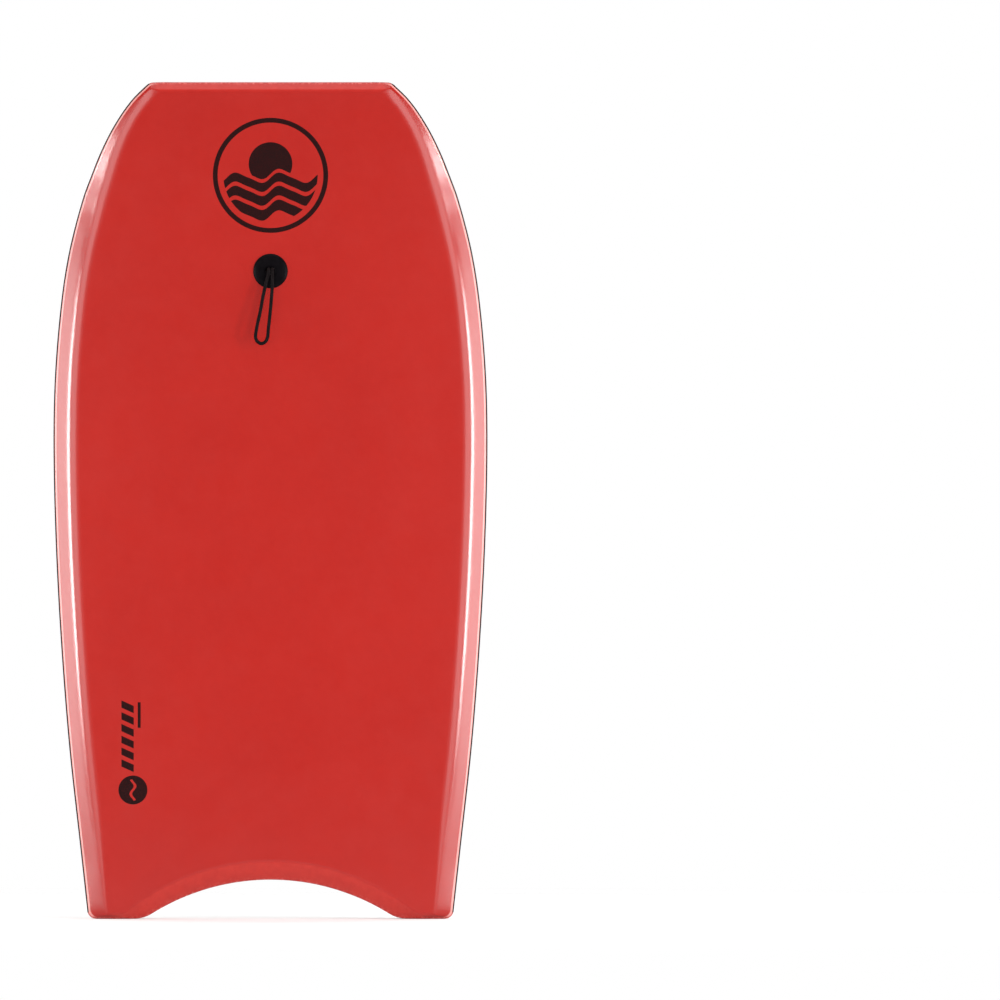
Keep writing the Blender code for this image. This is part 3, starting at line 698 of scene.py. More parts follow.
def deck_look():
    look = Look("deck_foam")
    cloud = look.noise(size=140.0, detail=3.0, rough=0.55)
    mottle = look.noise(size=9.0, detail=3.0, rough=0.6)
    grain = look.noise(size=0.55, detail=3.0, rough=0.6)
    # close reds, with paler mottling and dark grain
    colour = look.mix(rgb(161, 20, 11), rgb(166, 23, 13), share=cloud.fit(MIDDLE))
    pale = mottle.fit(over=(0.3, 0.75), to=(0.0, 0.22))
    colour = look.mix(colour, rgb(173, 30, 21), share=pale)
    dark = grain.fit(over=(0.35, 0.7), to=(0.0, 0.16))
    colour = look.mix(colour, rgb(138, 13, 7), share=dark)

    # printed marks: the round emblem near the nose and a small one near the tail
    black, sun = emblem(look, centre_z=903.0)
    ink = black.max(sun)
    ink = ink.max(tail_mark(look))
    # thin spots in the ink
    thin = look.noise(size=0.8, detail=4.0, rough=0.7)
    ink = ink * thin.fit(over=(0.35, 0.62), to=(0.93, 1.0))
    colour = look.mix(colour, rgb(14, 6, 7), share=ink)

    # painted highlight: a pale line along the skin's rounded lower edge, beside the black pinline
    line = look.attribute("line")
    colour = look.mix(colour, rgb(222, 156, 150), share=line * 0.86)
    # painted highlight: the bevels at the nose and the tail are paler, most at the tail, standing
    # in for the light and sheen they catch
    cut = look.attribute("cut") * mottle.fit(MIDDLE, to=(0.24, 0.38))
    tail = look.z.below(300.0, soft=60.0)
    # the painted highlight's colour on the end bevels, paler towards the tail
    stretched = look.mix(rgb(204, 48, 38), rgb(222, 56, 42), share=tail)
    colour = look.mix(colour, stretched, share=cut)
    # scuffed rim, more so at the nose and the tail
    rim = look.attribute("rim")
    ends = look.z.below(55.0, soft=45.0).max(look.z.above(996.0, soft=14.0))
    patches = look.noise(size=3.2, detail=4.0, rough=0.7)
    scuff = rim * patches.fit(over=(0.46, 0.66))
    scuff = scuff * (ends * 0.45 + 0.12)
    colour = look.mix(colour, rgb(226, 120, 110), share=scuff)

    # cloudy roughness: varied by the grain, smoother on ink, rougher on scuffs
    rough = look.noise(size=26.0, detail=3.0, rough=0.6).fit(over=(0.25, 0.75), to=(0.17, 0.22))
    rough = rough + grain.fit(MIDDLE, to=(-1.0, 1.0)) * 0.025
    rough = rough - ink * 0.06 + scuff * 0.25
    # relief: grain, pores and raised ink, over soft waves
    pores = look.cells(size=1.4, feature="SMOOTH_F1")
    height = grain * 0.5 + pores * 0.35 + ink * 0.35
    normal = look.bump(height, distance=0.06, strength=0.6)
    normal = look.bump(look.noise(size=13.0), distance=0.08, strength=0.4, under=normal)
    level = ink.fit(over=(0.0, 1.0), to=(0.5, 0.22))
    return look.finish(
        Base_Color=colour, Roughness=rough, Normal=normal, IOR=1.7, Specular_IOR_Level=level
    )


def rail_look():
    look = Look("rail_foam")
    cloud = look.noise(size=70.0, detail=3.0, rough=0.55)
    cell = look.cells(size=1.7)
    speck = look.noise(size=2.1, detail=4.0, rough=0.72, distort=0.3)
    fine = look.noise(size=0.7, detail=3.0, rough=0.65)
    # close reds, with dark specks, pale cell centres and fine dark grain
    colour = look.mix(rgb(196, 26, 33), rgb(212, 36, 42), share=cloud.fit(MIDDLE))
    specks = speck.fit(over=(0.42, 0.66), to=(0.0, 0.8))
    colour = look.mix(colour, rgb(122, 8, 14), share=specks)
    centres = cell.fit(over=(0.0, 0.35), to=(0.35, 0.0))
    colour = look.mix(colour, rgb(228, 74, 76), share=centres)
    dark = fine.fit(over=(0.5, 0.75), to=(0.0, 0.35))
    colour = look.mix(colour, rgb(104, 6, 12), share=dark)
    # scuffs at the tail and the nose
    ends = look.z.below(14.0, soft=12.0).max(look.z.above(1004.0, soft=10.0))
    patches = look.noise(size=4.0, detail=4.0, rough=0.7)
    scuff = ends * patches.fit(over=(0.48, 0.64), to=(0.0, 0.4))
    colour = look.mix(colour, rgb(224, 110, 106), share=scuff)
    rough = speck.fit(MIDDLE, to=(0.40, 0.58))
    # relief: specks and cells alike, with less of the fine grain
    height = speck * 0.6 + cell * 0.6 + fine * 0.25
    normal = look.bump(height, distance=0.22, strength=0.55)
    return look.finish(Base_Color=colour, Roughness=rough, Normal=normal, IOR=1.48)


def pinline_look():
    look = Look("pinline_foam")
    fine = look.noise(size=0.9, detail=3.0, rough=0.65)
    cell = look.cells(size=1.3)
    colour = look.mix(rgb(10, 4, 5), rgb(24, 15, 16), share=fine.fit(over=(0.35, 0.7)))
    rough = look.noise(size=6.0).fit(MIDDLE, to=(0.42, 0.56))
    normal = look.bump(fine + cell, distance=0.08, strength=0.5)
    return look.finish(
        Base_Color=colour, Roughness=rough, Normal=normal, Specular_IOR_Level=0.12
    )


def slick_look():
    look = Look("slick_plastic")
    haze = look.noise(size=160.0)
    # rub marks drawn out along the board
    along = look.stretched(by=(1.0, 1.0, 0.06))
    rub = look.noise(size=5.0, detail=3.0, rough=0.6, vector=along)
    colour = look.mix(rgb(243, 243, 244), rgb(248, 248, 248), share=haze.fit(MIDDLE))
    rubbed = rub.fit(over=(0.55, 0.8), to=(0.0, 0.10))
    colour = look.mix(colour, rgb(226, 226, 228), share=rubbed)
    black, sun = emblem(look, centre_z=901.0)
    # thin spots in the ink
    thin = look.noise(size=0.8, detail=4.0, rough=0.7).fit(over=(0.35, 0.62), to=(0.95, 1.0))
    colour = look.mix(colour, rgb(26, 22, 24), share=black * thin)
    colour = look.mix(colour, rgb(200, 34, 38), share=sun * thin)
    # scuffed rim
    rim = look.attribute("rim")
    patches = look.noise(size=2.4, detail=4.0, rough=0.7)
    scuff = rim * patches.fit(over=(0.5, 0.68), to=(0.0, 0.35))
    colour = look.mix(colour, rgb(206, 204, 202), share=scuff)
    # duller where it is rubbed
    rough = look.noise(size=40.0, detail=3.0, rough=0.6).fit(MIDDLE, to=(0.13, 0.19))
    rough = rough + rub.fit(over=(0.5, 0.8)) * 0.10
    # long soft waves and orange peel of the extruded sheet
    waves = look.noise(size=34.0, vector=look.stretched(by=(1.0, 1.0, 0.45)))
    normal = look.bump(waves, distance=0.35, strength=0.5)
    normal = look.bump(look.noise(size=1.9), distance=0.012, strength=0.8, under=normal)
    return look.finish(Base_Color=colour, Roughness=rough, Normal=normal, IOR=1.51)


def plug_look():
    look = Look("plug_plastic")
    fine = look.noise(size=0.35)
    cloud = look.noise(size=7.0, detail=3.0, rough=0.6).fit(MIDDLE)
    colour = look.mix(rgb(6, 4, 6), rgb(12, 9, 12), share=cloud)
    # scratches drawn out across the board
    scratch = look.noise(size=0.5, vector=look.stretched(by=(0.05, 1.0, 1.0)))
    rough = look.noise(size=4.0, detail=3.0, rough=0.6).fit(MIDDLE, to=(0.36, 0.46))
    rough = rough + scratch.fit(over=(0.6, 0.8), to=(0.0, 0.10))
    normal = look.bump(fine + scratch * 0.5, distance=0.02, strength=0.5)
    return look.finish(
        Base_Color=colour, Roughness=rough, Normal=normal, IOR=1.45, Specular_IOR_Level=0.06
    )


def cord_look():
    look = Look("cord_fabric")
    braid = look.attribute("braid")
    tone = look.attribute("tone")
    # painted shade: darker between the strands, where they sink, with paler tracer strands
    colour = look.mix(rgb(3, 1, 1), rgb(17, 11, 12), share=braid.fit(over=(0.1, 0.95)))
    colour = look.mix(colour, rgb(40, 32, 35), share=tone * 0.4)
    along = look.attribute("along")
    around = look.attribute("around")
    # fibres run along the cord: fine around it, drawn out along it
    place = look.make("CombineXYZ", {0: around * 6.0, 1: along * 0.5})
    fibre = look.noise(size=0.35, detail=3.0, rough=0.7, vector=place)
    pale = fibre.fit(over=(0.45, 0.75), to=(0.0, 0.25))
    colour = look.mix(colour, rgb(44, 36, 38), share=pale)
    rough = fibre.fit(MIDDLE, to=(0.55, 0.75))
    normal = look.bump(fibre, distance=0.06, strength=0.6)
    return look.finish(
        Base_Color=colour, Roughness=rough, Normal=normal,
        Sheen_Weight=0.02, Sheen_Roughness=0.4, Specular_IOR_Level=0.07,
    )


def core_look():
    """Moulded bead foam: packed round beads with dark seams between them."""
    look = Look("core_foam")
    edge = look.cells(size=3.6, feature="DISTANCE_TO_EDGE")
    tint = look.noise(size=30.0)
    colour = look.mix(rgb(236, 234, 228), rgb(246, 245, 240), share=tint.fit(MIDDLE))
    seams = edge.fit(over=(0.0, 0.09), to=(0.5, 0.0))
    colour = look.mix(colour, rgb(196, 192, 184), share=seams)
    rough = edge.fit(over=(0.0, 0.12), to=(0.9, 0.72))
    normal = look.bump(edge.fit(over=(0.0, 0.22)), distance=0.30, strength=0.7)
    return look.finish(Base_Color=colour, Roughness=rough, Normal=normal)


def backing_look():
    """Closed-cell foam sheet."""
    look = Look("backing_foam")
    cell = look.cells(size=0.9)
    fine = look.noise(size=2.5, detail=3.0, rough=0.6)
    colour = look.mix(rgb(214, 214, 210), rgb(228, 228, 225), share=fine.fit(MIDDLE))
    centres = cell.fit(over=(0.0, 0.4), to=(0.25, 0.0))
    colour = look.mix(colour, rgb(190, 190, 186), share=centres)
    rough = fine.fit(MIDDLE, to=(0.70, 0.85))
    normal = look.bump(cell, distance=0.12, strength=0.5)
    return look.finish(Base_Color=colour, Roughness=rough, Normal=normal)


# ---------------------------------------------------------------- deck skin
def uneven(x, z, size=1.0):
    """Soft unevenness of a laminated surface, in millimetres."""
    broad = noise.noise(Vector((x * 0.0065, 3.1, z * 0.0052)))
    small = noise.noise(Vector((x * 0.017, 7.7, z * 0.014)))
    return size * (0.32 * broad + 0.09 * small)


def edge_distance(x, z, side, tail, nose):
    """Distance in from lines that lie side, tail and nose millimetres inside the outline."""
    rim = min(half_width(z) - abs(x) - side, z - tail_z(min(abs(x), 186.0), tail))
    return min(rim, LENGTH - nose - z)


def skin_lines(edge, wide, deep):
    """Insets of the skin's underside: where its flat part ends and where the bevel ends."""
    fall = deep - 1.5
    inner = edge + wide + SKIN * math.tan(math.atan2(fall, wide) / 2.0)
    foot = min(inner - (deep - SKIN) * wide / fall, inner - 0.6)
    return inner, foot


def bevel_point(edge, wide, fall, reach_in, reach_out, t):
    """Along the skin's outer face: t 0 to 1 is the rounding between flat and bevel, 1 to 2
    the bevel down to about 2 mm from the edge, 2 to 3 the painted highlight line. The slope
    grows smoothly over the rounding and then a little more towards the edge."""
    width = wide + reach_in
    rounding = (reach_in + reach_out) / width
    growth = 0.08
    last = 1.0 - min(2.1 * 0.85, 0.3 * wide) / width
    if t <= 1.0:
        along = rounding * t
    elif t <= 2.0:
        along = rounding + (last - rounding) * (t - 1.0)
    else:
        along = last + (1.0 - last) * (t - 2.0)

    def sunk(v):
        # integral of (1 - growth) * smooth(v / rounding) + growth * v
        w = min(v / rounding, 1.0)
        part = rounding * (w**3 - 0.5 * w**4) + max(0.0, v - rounding)
        return (1.0 - growth) * part + 0.5 * growth * v * v

    return edge + width * (1.0 - along), fall * sunk(along) / sunk(1.0)


def build_deck():
    # places along the outer face, as bevel_point's t
    marks = [0.0, 0.1, 0.2, 0.3, 0.4, 0.5, 0.6, 0.7, 0.8, 0.9, 1.0]
    marks += [1.25, 1.5, 1.75, 1.93, 2.0, 2.12, 2.5, 2.8]
    # the rounded edge below: (inset more, height above the edge's lowest line)
    edge_steps = ((0.05, 1.15), (0.0, 0.8), (0.0, 0.35), (0.12, 0.08), (0.4, 0.0))

    def outer(t):
        def side(z):
            wide, fall = chine_w(z), chine_d(z) - 1.5
            # the rounding is wide along the middle and tighter at both ends
            middle = smooth((z - 10.0) / 160.0) * (1.0 - 0.35 * smooth((z - 860.0) / 150.0))
            reach_in = 3.6 + 6.4 * middle
            reach_out = min(3.4 + 6.6 * middle, 0.6 * wide)
            return bevel_point(SKIN_EDGE, wide, fall, reach_in, reach_out, t)

        def tail(x):
            wide, fall = bevel_w(x), bevel_d(x) - 1.5
            reach = min(3.2, 0.34 * wide)
            return bevel_point(0.2, wide + 0.2, fall, reach, reach, t)

        nose = bevel_point(0.2, NOSE_BEVEL_W + 0.2, CHINE_D_NOSE - 1.5, 3.2, 3.2, t)
        return Contour(side, tail, nose, DECK_COLUMNS)

    def edge(more, up):
        return Contour(
            lambda z: (SKIN_EDGE + more, chine_d(z) - up),
            lambda x: (more, bevel_d(x) - up),
            (more, CHINE_D_NOSE - up),
            DECK_COLUMNS,
        )

    def underside(which, depth=None):
        """One of the skin_lines, at a given depth or at the bevel's own."""

        def line(start, wide, deep):
            return skin_lines(start, wide, deep)[which], depth or deep

        return Contour(
            lambda z: line(SKIN_EDGE, chine_w(z), chine_d(z)),
            lambda x: line(0.4, bevel_w(x), bevel_d(x)),
            line(0.4, NOSE_BEVEL_W, CHINE_D_NOSE),
            DECK_COLUMNS,
        )

    rings = [outer(t) for t in marks] + [edge(more, up) for more, up in edge_steps]
    outside = len(rings)
    rings += [underside(1), underside(0, SKIN)]

    def values(ring, kind, z):
        if ring >= outside:
            return {}
        t = marks[ring] if ring < len(marks) else 3.0
        rim = smooth((t - 1.6) / 1.0)
        line = cut = 0.0
        if kind == "side":
            # painted highlight: the pale line along the skin's rounded lower edge, on the sides
            # only
            line = smooth((t - 1.93) / 0.07) if t < 2.01 else 1.0
            # it runs out round the corners
            line *= smooth((z - 0.5) / 4.0) * smooth((LENGTH - 0.4 - z) / 3.0)
        else:
            # painted highlight on the end bevels: paler from the rounding, fading towards the edge
            cut = smooth((t - 0.25) / 0.6) * (1.0 - 0.75 * smooth((t - 1.0) / 1.8))
        return {"rim": rim, "line": line, "cut": cut}

    ob = shell("deck_skin_soft", rings, values)
    # the sheet's soft unevenness fades out at the rounding and round the plug
    for v in ob.data.vertices:
        x, y, z = v.co.x * 1000.0, v.co.y * 1000.0, v.co.z * 1000.0
        if y - Y_SHIFT - deck_y(z) > 0.6:
            continue
        rim = edge_distance(x, z, side=26.0, tail=27.0, nose=14.0)
        plug = math.hypot(x, z - PLUG_Z) - 24.0
        share = smooth(rim / 40.0) * smooth(plug / 40.0)
        v.co.y += uneven(x, z) * share / 1000.0
    return ob


def cut_plug_hole(ob, top=-4.0, bottom=49.0):
    """Cuts a round hole on the plug's axis through a piece."""
    bm = bmesh.new()
    radius = PLUG_HOLE_R / 1000.0
    bmesh.ops.create_cone(
        bm, cap_ends=True, segments=96, radius1=radius, radius2=radius,
        depth=(bottom - top) / 1000.0,
    )
    mesh = bpy.data.meshes.new("cutter")
    bm.to_mesh(mesh)
    bm.free()
    tool = bpy.data.objects.new("cutter", mesh)
    tool.rotation_euler = (math.pi / 2.0, 0.0, 0.0)
    tool.location = (0.0, (Y_SHIFT + (top + bottom) / 2.0) / 1000.0, PLUG_Z / 1000.0)
    bpy.context.scene.collection.objects.link(tool)
    modifier = ob.modifiers.new("plug hole", "BOOLEAN")
    modifier.operation = "DIFFERENCE"
    modifier.solver = "EXACT"
    modifier.object = tool
    bpy.context.view_layer.update()
    depsgraph = bpy.context.evaluated_depsgraph_get()
    made = bpy.data.meshes.new_from_object(ob.evaluated_get(depsgraph))
    ob.modifiers.clear()
    old = ob.data
    ob.data = made
    bpy.data.meshes.remove(old)
    bpy.data.objects.remove(tool, do_unlink=True)
    ob.data.set_sharp_from_angle(angle=math.radians(40.0))


# ---------------------------------------------------------------- slick sheet
def build_slick():
    # (height above the outer face, inset more)
    steps = ((SLICK, 0.0), (0.5, 0.0), (0.22, 0.05), (0.06, 0.2), (0.0, 0.5), (0.0, 4.0))

    def contour(up, more):
        return Contour(
            lambda z: (core_line(z, thick(z) - up) + more, thick(z) - up),
            lambda x: (TAIL_STRIP + GAP + more, THICKNESS - up),
            (NOSE_STRIP + GAP + more, thick(LENGTH - NOSE_STRIP) - up),
            SLICK_COLUMNS,
        )

    def values(ring, kind, z):
        return {"rim": 1.0 if 1 <= ring <= 4 else 0.0}

    ob = shell("slick_sheet_soft", [contour(up, more) for up, more in steps], values)
    for v in ob.data.vertices:
        x, z = v.co.x * 1000.0, v.co.z * 1000.0
        v.co.y -= channel_depth(x, z) / 1000.0
        rim = edge_distance(x, z, side=34.0, tail=14.0, nose=20.0)
        v.co.y += uneven(x, z + 4000.0, 0.5) * smooth(rim / 40.0) / 1000.0
    return ob


# ---------------------------------------------------------------- rails and end strips
# Sections are lists of (inset, depth) corners, and each is rounded by a reach per corner.
def rail_rows(low, high):
    rows = [low] + [z for z in CORNER_UP if z > low]
    rows += [14.0] + SIDE_ROWS + [998.0, 1004.0]
    rows += [z for z in (1008.0, *(LENGTH - down for down in CORNER_DOWN)) if z < high]
    return rows + [high]


def build_rail(name, points, reach, cuts, low, high, side):
    rows = []
    for z in rail_rows(low, high):
        section = rounded(points(z), reach, cuts)
        rows.append([to_world(side * side_x(z, inset), depth, z) for inset, depth in section])
    return sweep(name, rows)


def outer_rail_points(z):
    top, bottom, width = chine_d(z), thick(z), rail_w(z)
    middle = top + 0.60 * (bottom - top)
    return [
        (rail_line(z, top + 3.2) - 0.4, top + 3.2),
        (0.0, top + 3.2),
        (0.38 * width, middle),
        (width - 1.7, bottom - 2.1),
        (width - 0.4, bottom - 1.7),
    ]


def inner_rail_points(z):
    top, bottom, width = chine_d(z), thick(z), rail_w(z)
    return [
        (rail_line(z, top + 0.3) + INNER_RAIL, top + 0.3),
        (0.0, top + 0.3),
        (0.0, top + 2.5),
        (2.5, top + 2.8),
        (width, bottom - 1.7),
        (rail_line(z, bottom - 0.05), bottom - 0.05),
        (rail_line(z, bottom - 0.05) + INNER_RAIL, bottom - 0.05),
    ]


def build_nose():
    top, bottom = CHINE_D_NOSE, thick(LENGTH)
    corners = [
        (NOSE_STRIP, top + GAP),
        (0.0, top + GAP),
        (0.0, bottom - 6.0),
        (1.2, bottom - 2.6),
        (3.6, bottom - 0.5),
        (NOSE_STRIP, thick(LENGTH - NOSE_STRIP) - 0.05),
    ]
    reach = (0.3, 0.8, 2.2, 1.2, 1.6, 0.3)
    ends = []
    for down, depth in rounded(corners, reach, cuts=(2, 3, 0, 0, 1, 3)):
        z = LENGTH - down
        near = smooth((14.0 - down) / 14.0)
        skin = chine_d(z) + (top - chine_d(z)) * near
        depth = max(depth, skin + GAP)
        ends.append((z, depth, side_x(z, core_line(z, depth))))
    rows = []
    for k in range(73):
        share = -1.0 + 2.0 * k / 72.0
        rows.append([to_world(share * x, depth, z) for z, depth, x in ends])
    return sweep("nose_strip_soft", rows)


def build_tail():
    def section(x):
        top = bevel_d(x) + (0.3 if x > 180.0 else 0.0)
        bottom = THICKNESS
        corners = [
            (TAIL_STRIP, top + GAP),
            (0.0, top + GAP),
            (0.0, bottom - 3.5),
            (1.4, bottom - 1.2),
            (3.8, bottom - 0.2),
            (TAIL_STRIP, bottom - 0.05),
        ]
        return rounded(corners, (0.3, 0.8, 1.6, 0.9, 1.4, 0.3), cuts=(2, 4, 0, 0, 1, 4))

    xs = [c * TAIL_SPAN for c in SLICK_COLUMNS[:-1]]
    right = [[(x, depth, tail_z(x, inset)) for inset, depth in section(x)] for x in xs]
    # the last rows run out to the rails, where the inset is also the height
    last = xs[-1]
    for share in (0.3, 0.6, 0.85, 1.0):
        row = []
        for inset, depth in section(last):
            depth = max(depth, CHINE_D_TAIL + 0.8)
            x = side_x(inset, max(3.6, rail_line(inset, depth) + 0.3))
            row.append((last + share * (x - last), depth, inset))
        right.append(row)
    left = [[(-x, depth, z) for x, depth, z in row] for row in right[:0:-1]]
    rows = []
    for row in left + right:
        dipped = []
        for x, depth, z in row:
            # the tail channels run out over the strip
            share = smooth((depth - THICKNESS + 7.0) / 6.0)
            dipped.append(to_world(x, depth - share * channel_depth(x, max(z, 2.0)), z))
        rows.append(dipped)
    return sweep("tail_strip_soft", rows)


# ---------------------------------------------------------------- plug and cord
def plug_point(x, up, along):
    """A point by its place from the plug's centre: up is out of the deck, along is to the nose."""
    return Vector((x, Y_SHIFT - up, PLUG_Z + along))


def build_cap():
    """The cap and its ribbed post, turned round the plug's axis."""
    # (radius, up): out over the cap's face and back beneath it
    profile = [
        (PLUG_BORE_R, 0.4), (PLUG_BORE_R, 1.0), (4.62, 1.5), (4.95, 2.0), (5.5, 2.42),
        (6.3, 2.72), (7.4, 2.98), (8.8, 3.18), (10.4, 3.29), (12.0, 3.32), (13.5, 3.29),
        (15.0, 3.2), (16.3, 3.05), (17.4, 2.86), (18.3, 2.62), (19.1, 2.28), (19.8, 1.84),
        (20.35, 1.36), (20.7, 0.98), (20.93, 0.66), (PLUG_R, 0.45), (20.8, GAP),
        (14.0, GAP), (POST_R, GAP),
    ]
    up = -2.6
    while up > -20.0:
        profile += [(POST_R, up), (POST_R + 0.45, up - 0.3), (POST_R + 0.7, up - 0.6)]
        profile += [(POST_R + 0.7, up - 1.0), (POST_R + 0.4, up - 1.3), (POST_R, up - 1.6)]
        up -= 3.0
    profile += [(POST_R, -20.6), (POST_R - 0.4, -21.0), (PLUG_BORE_R + 0.4, -21.0)]
    profile += [(PLUG_BORE_R, -20.6), (PLUG_BORE_R, -10.0)]
    steps = 96
    n = len(profile)
    verts, faces = [], []
    for s in range(steps):
        angle = math.tau * s / steps
        for radius, up in profile:
            p = plug_point(radius * math.sin(angle), up, radius * math.cos(angle))
            verts.append(p / 1000.0)
    for s in range(steps):
        e = (s + 1) % steps
        for k in range(n):
            j = (k + 1) % n
            faces.append((s * n + k, s * n + j, e * n + j, e * n + k))
    return make_object("plug_cap_soft", verts, faces, angle=35.0)


# the two strands through the plug: (up, along)
STRAND_X = 2.17
STRAND = (
    (-19.0, 0.0), (-14.0, 0.0), (-8.0, 0.0), (-2.0, 0.1),
    (1.6, 0.7), (4.6, 1.9), (7.4, 2.6), (9.6, 1.4),
)
# the hanging loop: (x of the left strand, x of the right strand, up from the hinge, along)
LOOP = (
    (-2.3, 2.2, 1.7, -2.6), (-3.9, 2.3, 0.5, -9.0), (-7.3, 1.9, 1.6, -22.0),
    (-10.1, 0.9, 2.7, -36.0), (-12.6, -0.4, 3.8, -50.0), (-15.2, -1.6, 4.9, -61.0),
    (-17.3, -2.8, 5.8, -72.0), (-18.2, -3.5, 6.5, -79.6), (-15.9, -6.0, 6.9, -85.2),
)


def cord_path():
    """The whole cord: from its cut end, through the knot, out of the plug, round the loop
    and back."""

    def half(side, column):
        points = [(side * 1.2, -35.6, side * -2.4), (side * 2.2, -34.4, side * -1.6)]
        # the knot
        for k in range(13):
            t = k / 12.0
            angle = -0.35 * math.tau + 1.35 * math.tau * t
            radius = 2.3 + 1.7 * math.sin(math.pi * min(1.0, max(0.0, 0.06 + 0.94 * t)))
            x, along = side * radius * math.cos(angle), side * radius * math.sin(angle)
            points.append((x, -33.0 + 10.6 * t, along))
        points += [(side * STRAND_X, up, along) for up, along in STRAND]
        return points + [(row[column], HINGE_UP + row[2], row[3]) for row in LOOP]

    points = half(-1, 0) + [(-11.0, HINGE_UP + 7.1, -87.8)] + half(1, 1)[::-1]
    return [plug_point(*p) for p in smooth_curve(points)]


def even_samples(path, step):
    """Points in equal steps along a path, softened a little; also the path's length."""
    lengths = [0.0]
    for a, b in zip(path, path[1:]):
        lengths.append(lengths[-1] + (b - a).length)
    total = lengths[-1]
    count = int(total / step)
    samples, i = [], 0
    for k in range(count + 1):
        along = total * k / count
        while i < len(lengths) - 2 and lengths[i + 1] < along:
            i += 1
        t = (along - lengths[i]) / max(lengths[i + 1] - lengths[i], 1e-9)
        samples.append(path[i].lerp(path[i + 1], min(1.0, t)))
    for _ in range(6):
        inner = [
            samples[k] * 0.5 + (samples[k - 1] + samples[k + 1]) * 0.25
            for k in range(1, len(samples) - 1)
        ]
        samples = [samples[0]] + inner + [samples[-1]]
    return samples, total


def build_cord():
    samples, total = even_samples(cord_path(), step=0.34)
    last = len(samples) - 1
    around = 32
    # the braid
    carriers = 8
    pitch = 9.0
    verts, faces = [], []
    attributes = {"braid": [], "tone": [], "along": [], "around": []}
    normal = None
    for k, p in enumerate(samples):
        tangent = (samples[min(k + 1, last)] - samples[max(k - 1, 0)]).normalized()
        if normal is None:
            normal = tangent.orthogonal().normalized()
        normal = (normal - tangent * normal.dot(tangent)).normalized()
        side = tangent.cross(normal)
        along = total * k / last
        end = min(along, total - along)
        taper = 1.0
        if end <= 1.0:
            taper = 0.82 + 0.18 * math.sqrt(max(0.0, 1 - (1 - end) ** 2))
        twist = math.tau * along / pitch * carriers / 4.0
        for j in range(around):
            angle = math.tau * j / around
            one_way = carriers * angle + twist
            other_way = carriers * angle - twist
            bump = abs(math.cos(one_way / 2.0) * math.cos(other_way / 2.0))
            bump = bump**0.6
            radius = (CORD_R - 0.20 + 0.24 * bump) * taper
            q = p + (normal * math.cos(angle) + side * math.sin(angle)) * radius
            verts.append(q / 1000.0)
            tracer = 0.5 + 0.5 * math.sin(one_way / carriers * 2.0 + 0.6)
            attributes["braid"].append(bump)
            attributes["tone"].append(max(0.0, tracer - 0.55) * 2.0 * bump)
            attributes["along"].append(along)
            attributes["around"].append(abs(angle - math.pi))
    for k in range(last):
        low, high = k * around, (k + 1) * around
        for j in range(around):
            e = (j + 1) % around
            faces.append((low + j, low + e, high + e, high + j))
    # the cut ends
    for k in (0, last):
        verts.append(samples[k] / 1000.0)
        centre = len(verts) - 1
        for column in attributes.values():
            column.append(0.0)
        for j in range(around):
            e = (j + 1) % around
            face = (k * around + j, k * around + e, centre)
            faces.append(face[::-1] if k == 0 else face)
    return make_object("cord_braid", verts, faces, attributes, angle=60.0)


# ---------------------------------------------------------------- put the looks on the frame
deck_foam = deck_look()
rail_foam = rail_look()
pinline_foam = pinline_look()
slick_plastic = slick_look()
plug_plastic = plug_look()
cord_fabric = cord_look()

deck = build_deck()
cut_plug_hole(deck)
dress(deck, deck_foam, "board", "deck_foam", "deck_skin")
dress(build_slick(), slick_plastic, "board", "slick_plastic", "slick_sheet")

for side, word in ((1, "right"), (-1, "left")):
    outer = build_rail(
        "rail_outer_soft_" + word, outer_rail_points,
        reach=(0.2, 1.0, 5.0, 0.6, 0.3), cuts=(1, 9, 9, 0, 4),
        low=0.0, high=LENGTH, side=side,
    )
    dress(outer, rail_foam, "board", "rail_foam", "rail_outer_" + word)
    inner = build_rail(
        "rail_inner_soft_" + word, inner_rail_points,
        reach=(0.2, 0.6, 0.6, 0.2, 0.4, 0.4, 0.2), cuts=(1, 0, 0, 6, 0, 1, 6),
        low=TAIL_STRIP + GAP + 0.2, high=LENGTH - 1.5, side=side,
    )
    dress(inner, pinline_foam, "board", "pinline_foam", "rail_inner_" + word)

dress(build_nose(), rail_foam, "board", "rail_foam", "nose_strip")
dress(build_tail(), rail_foam, "board", "rail_foam", "tail_strip")
dress(build_cap(), plug_plastic, "board", "plug_plastic", "plug_cap")

# the cord: one mesh that stands for both the knot and the loop, on no body
cord = build_cord()
dress(cord, cord_fabric, None, "cord_fabric", "cord_knot", "cord_loop")
plug_point(0.0, 5.0, 3.0) / 1000.0
plug_point(0.0, 11.0, -2.0) / 1000.0
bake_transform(cord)

# pieces of the frame that keep their own meshes
for node, material in (
    ("core_blank", core_look()),
    ("slick_backing", backing_look()),
    ("plug_anchor", plug_plastic),
):
    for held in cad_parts[node].material_slots:
        held.material = material


# ---------------------------------------------------------------- stage, light, camera (m)
WHITE = (1.0, 1.0, 1.0, 1.0)


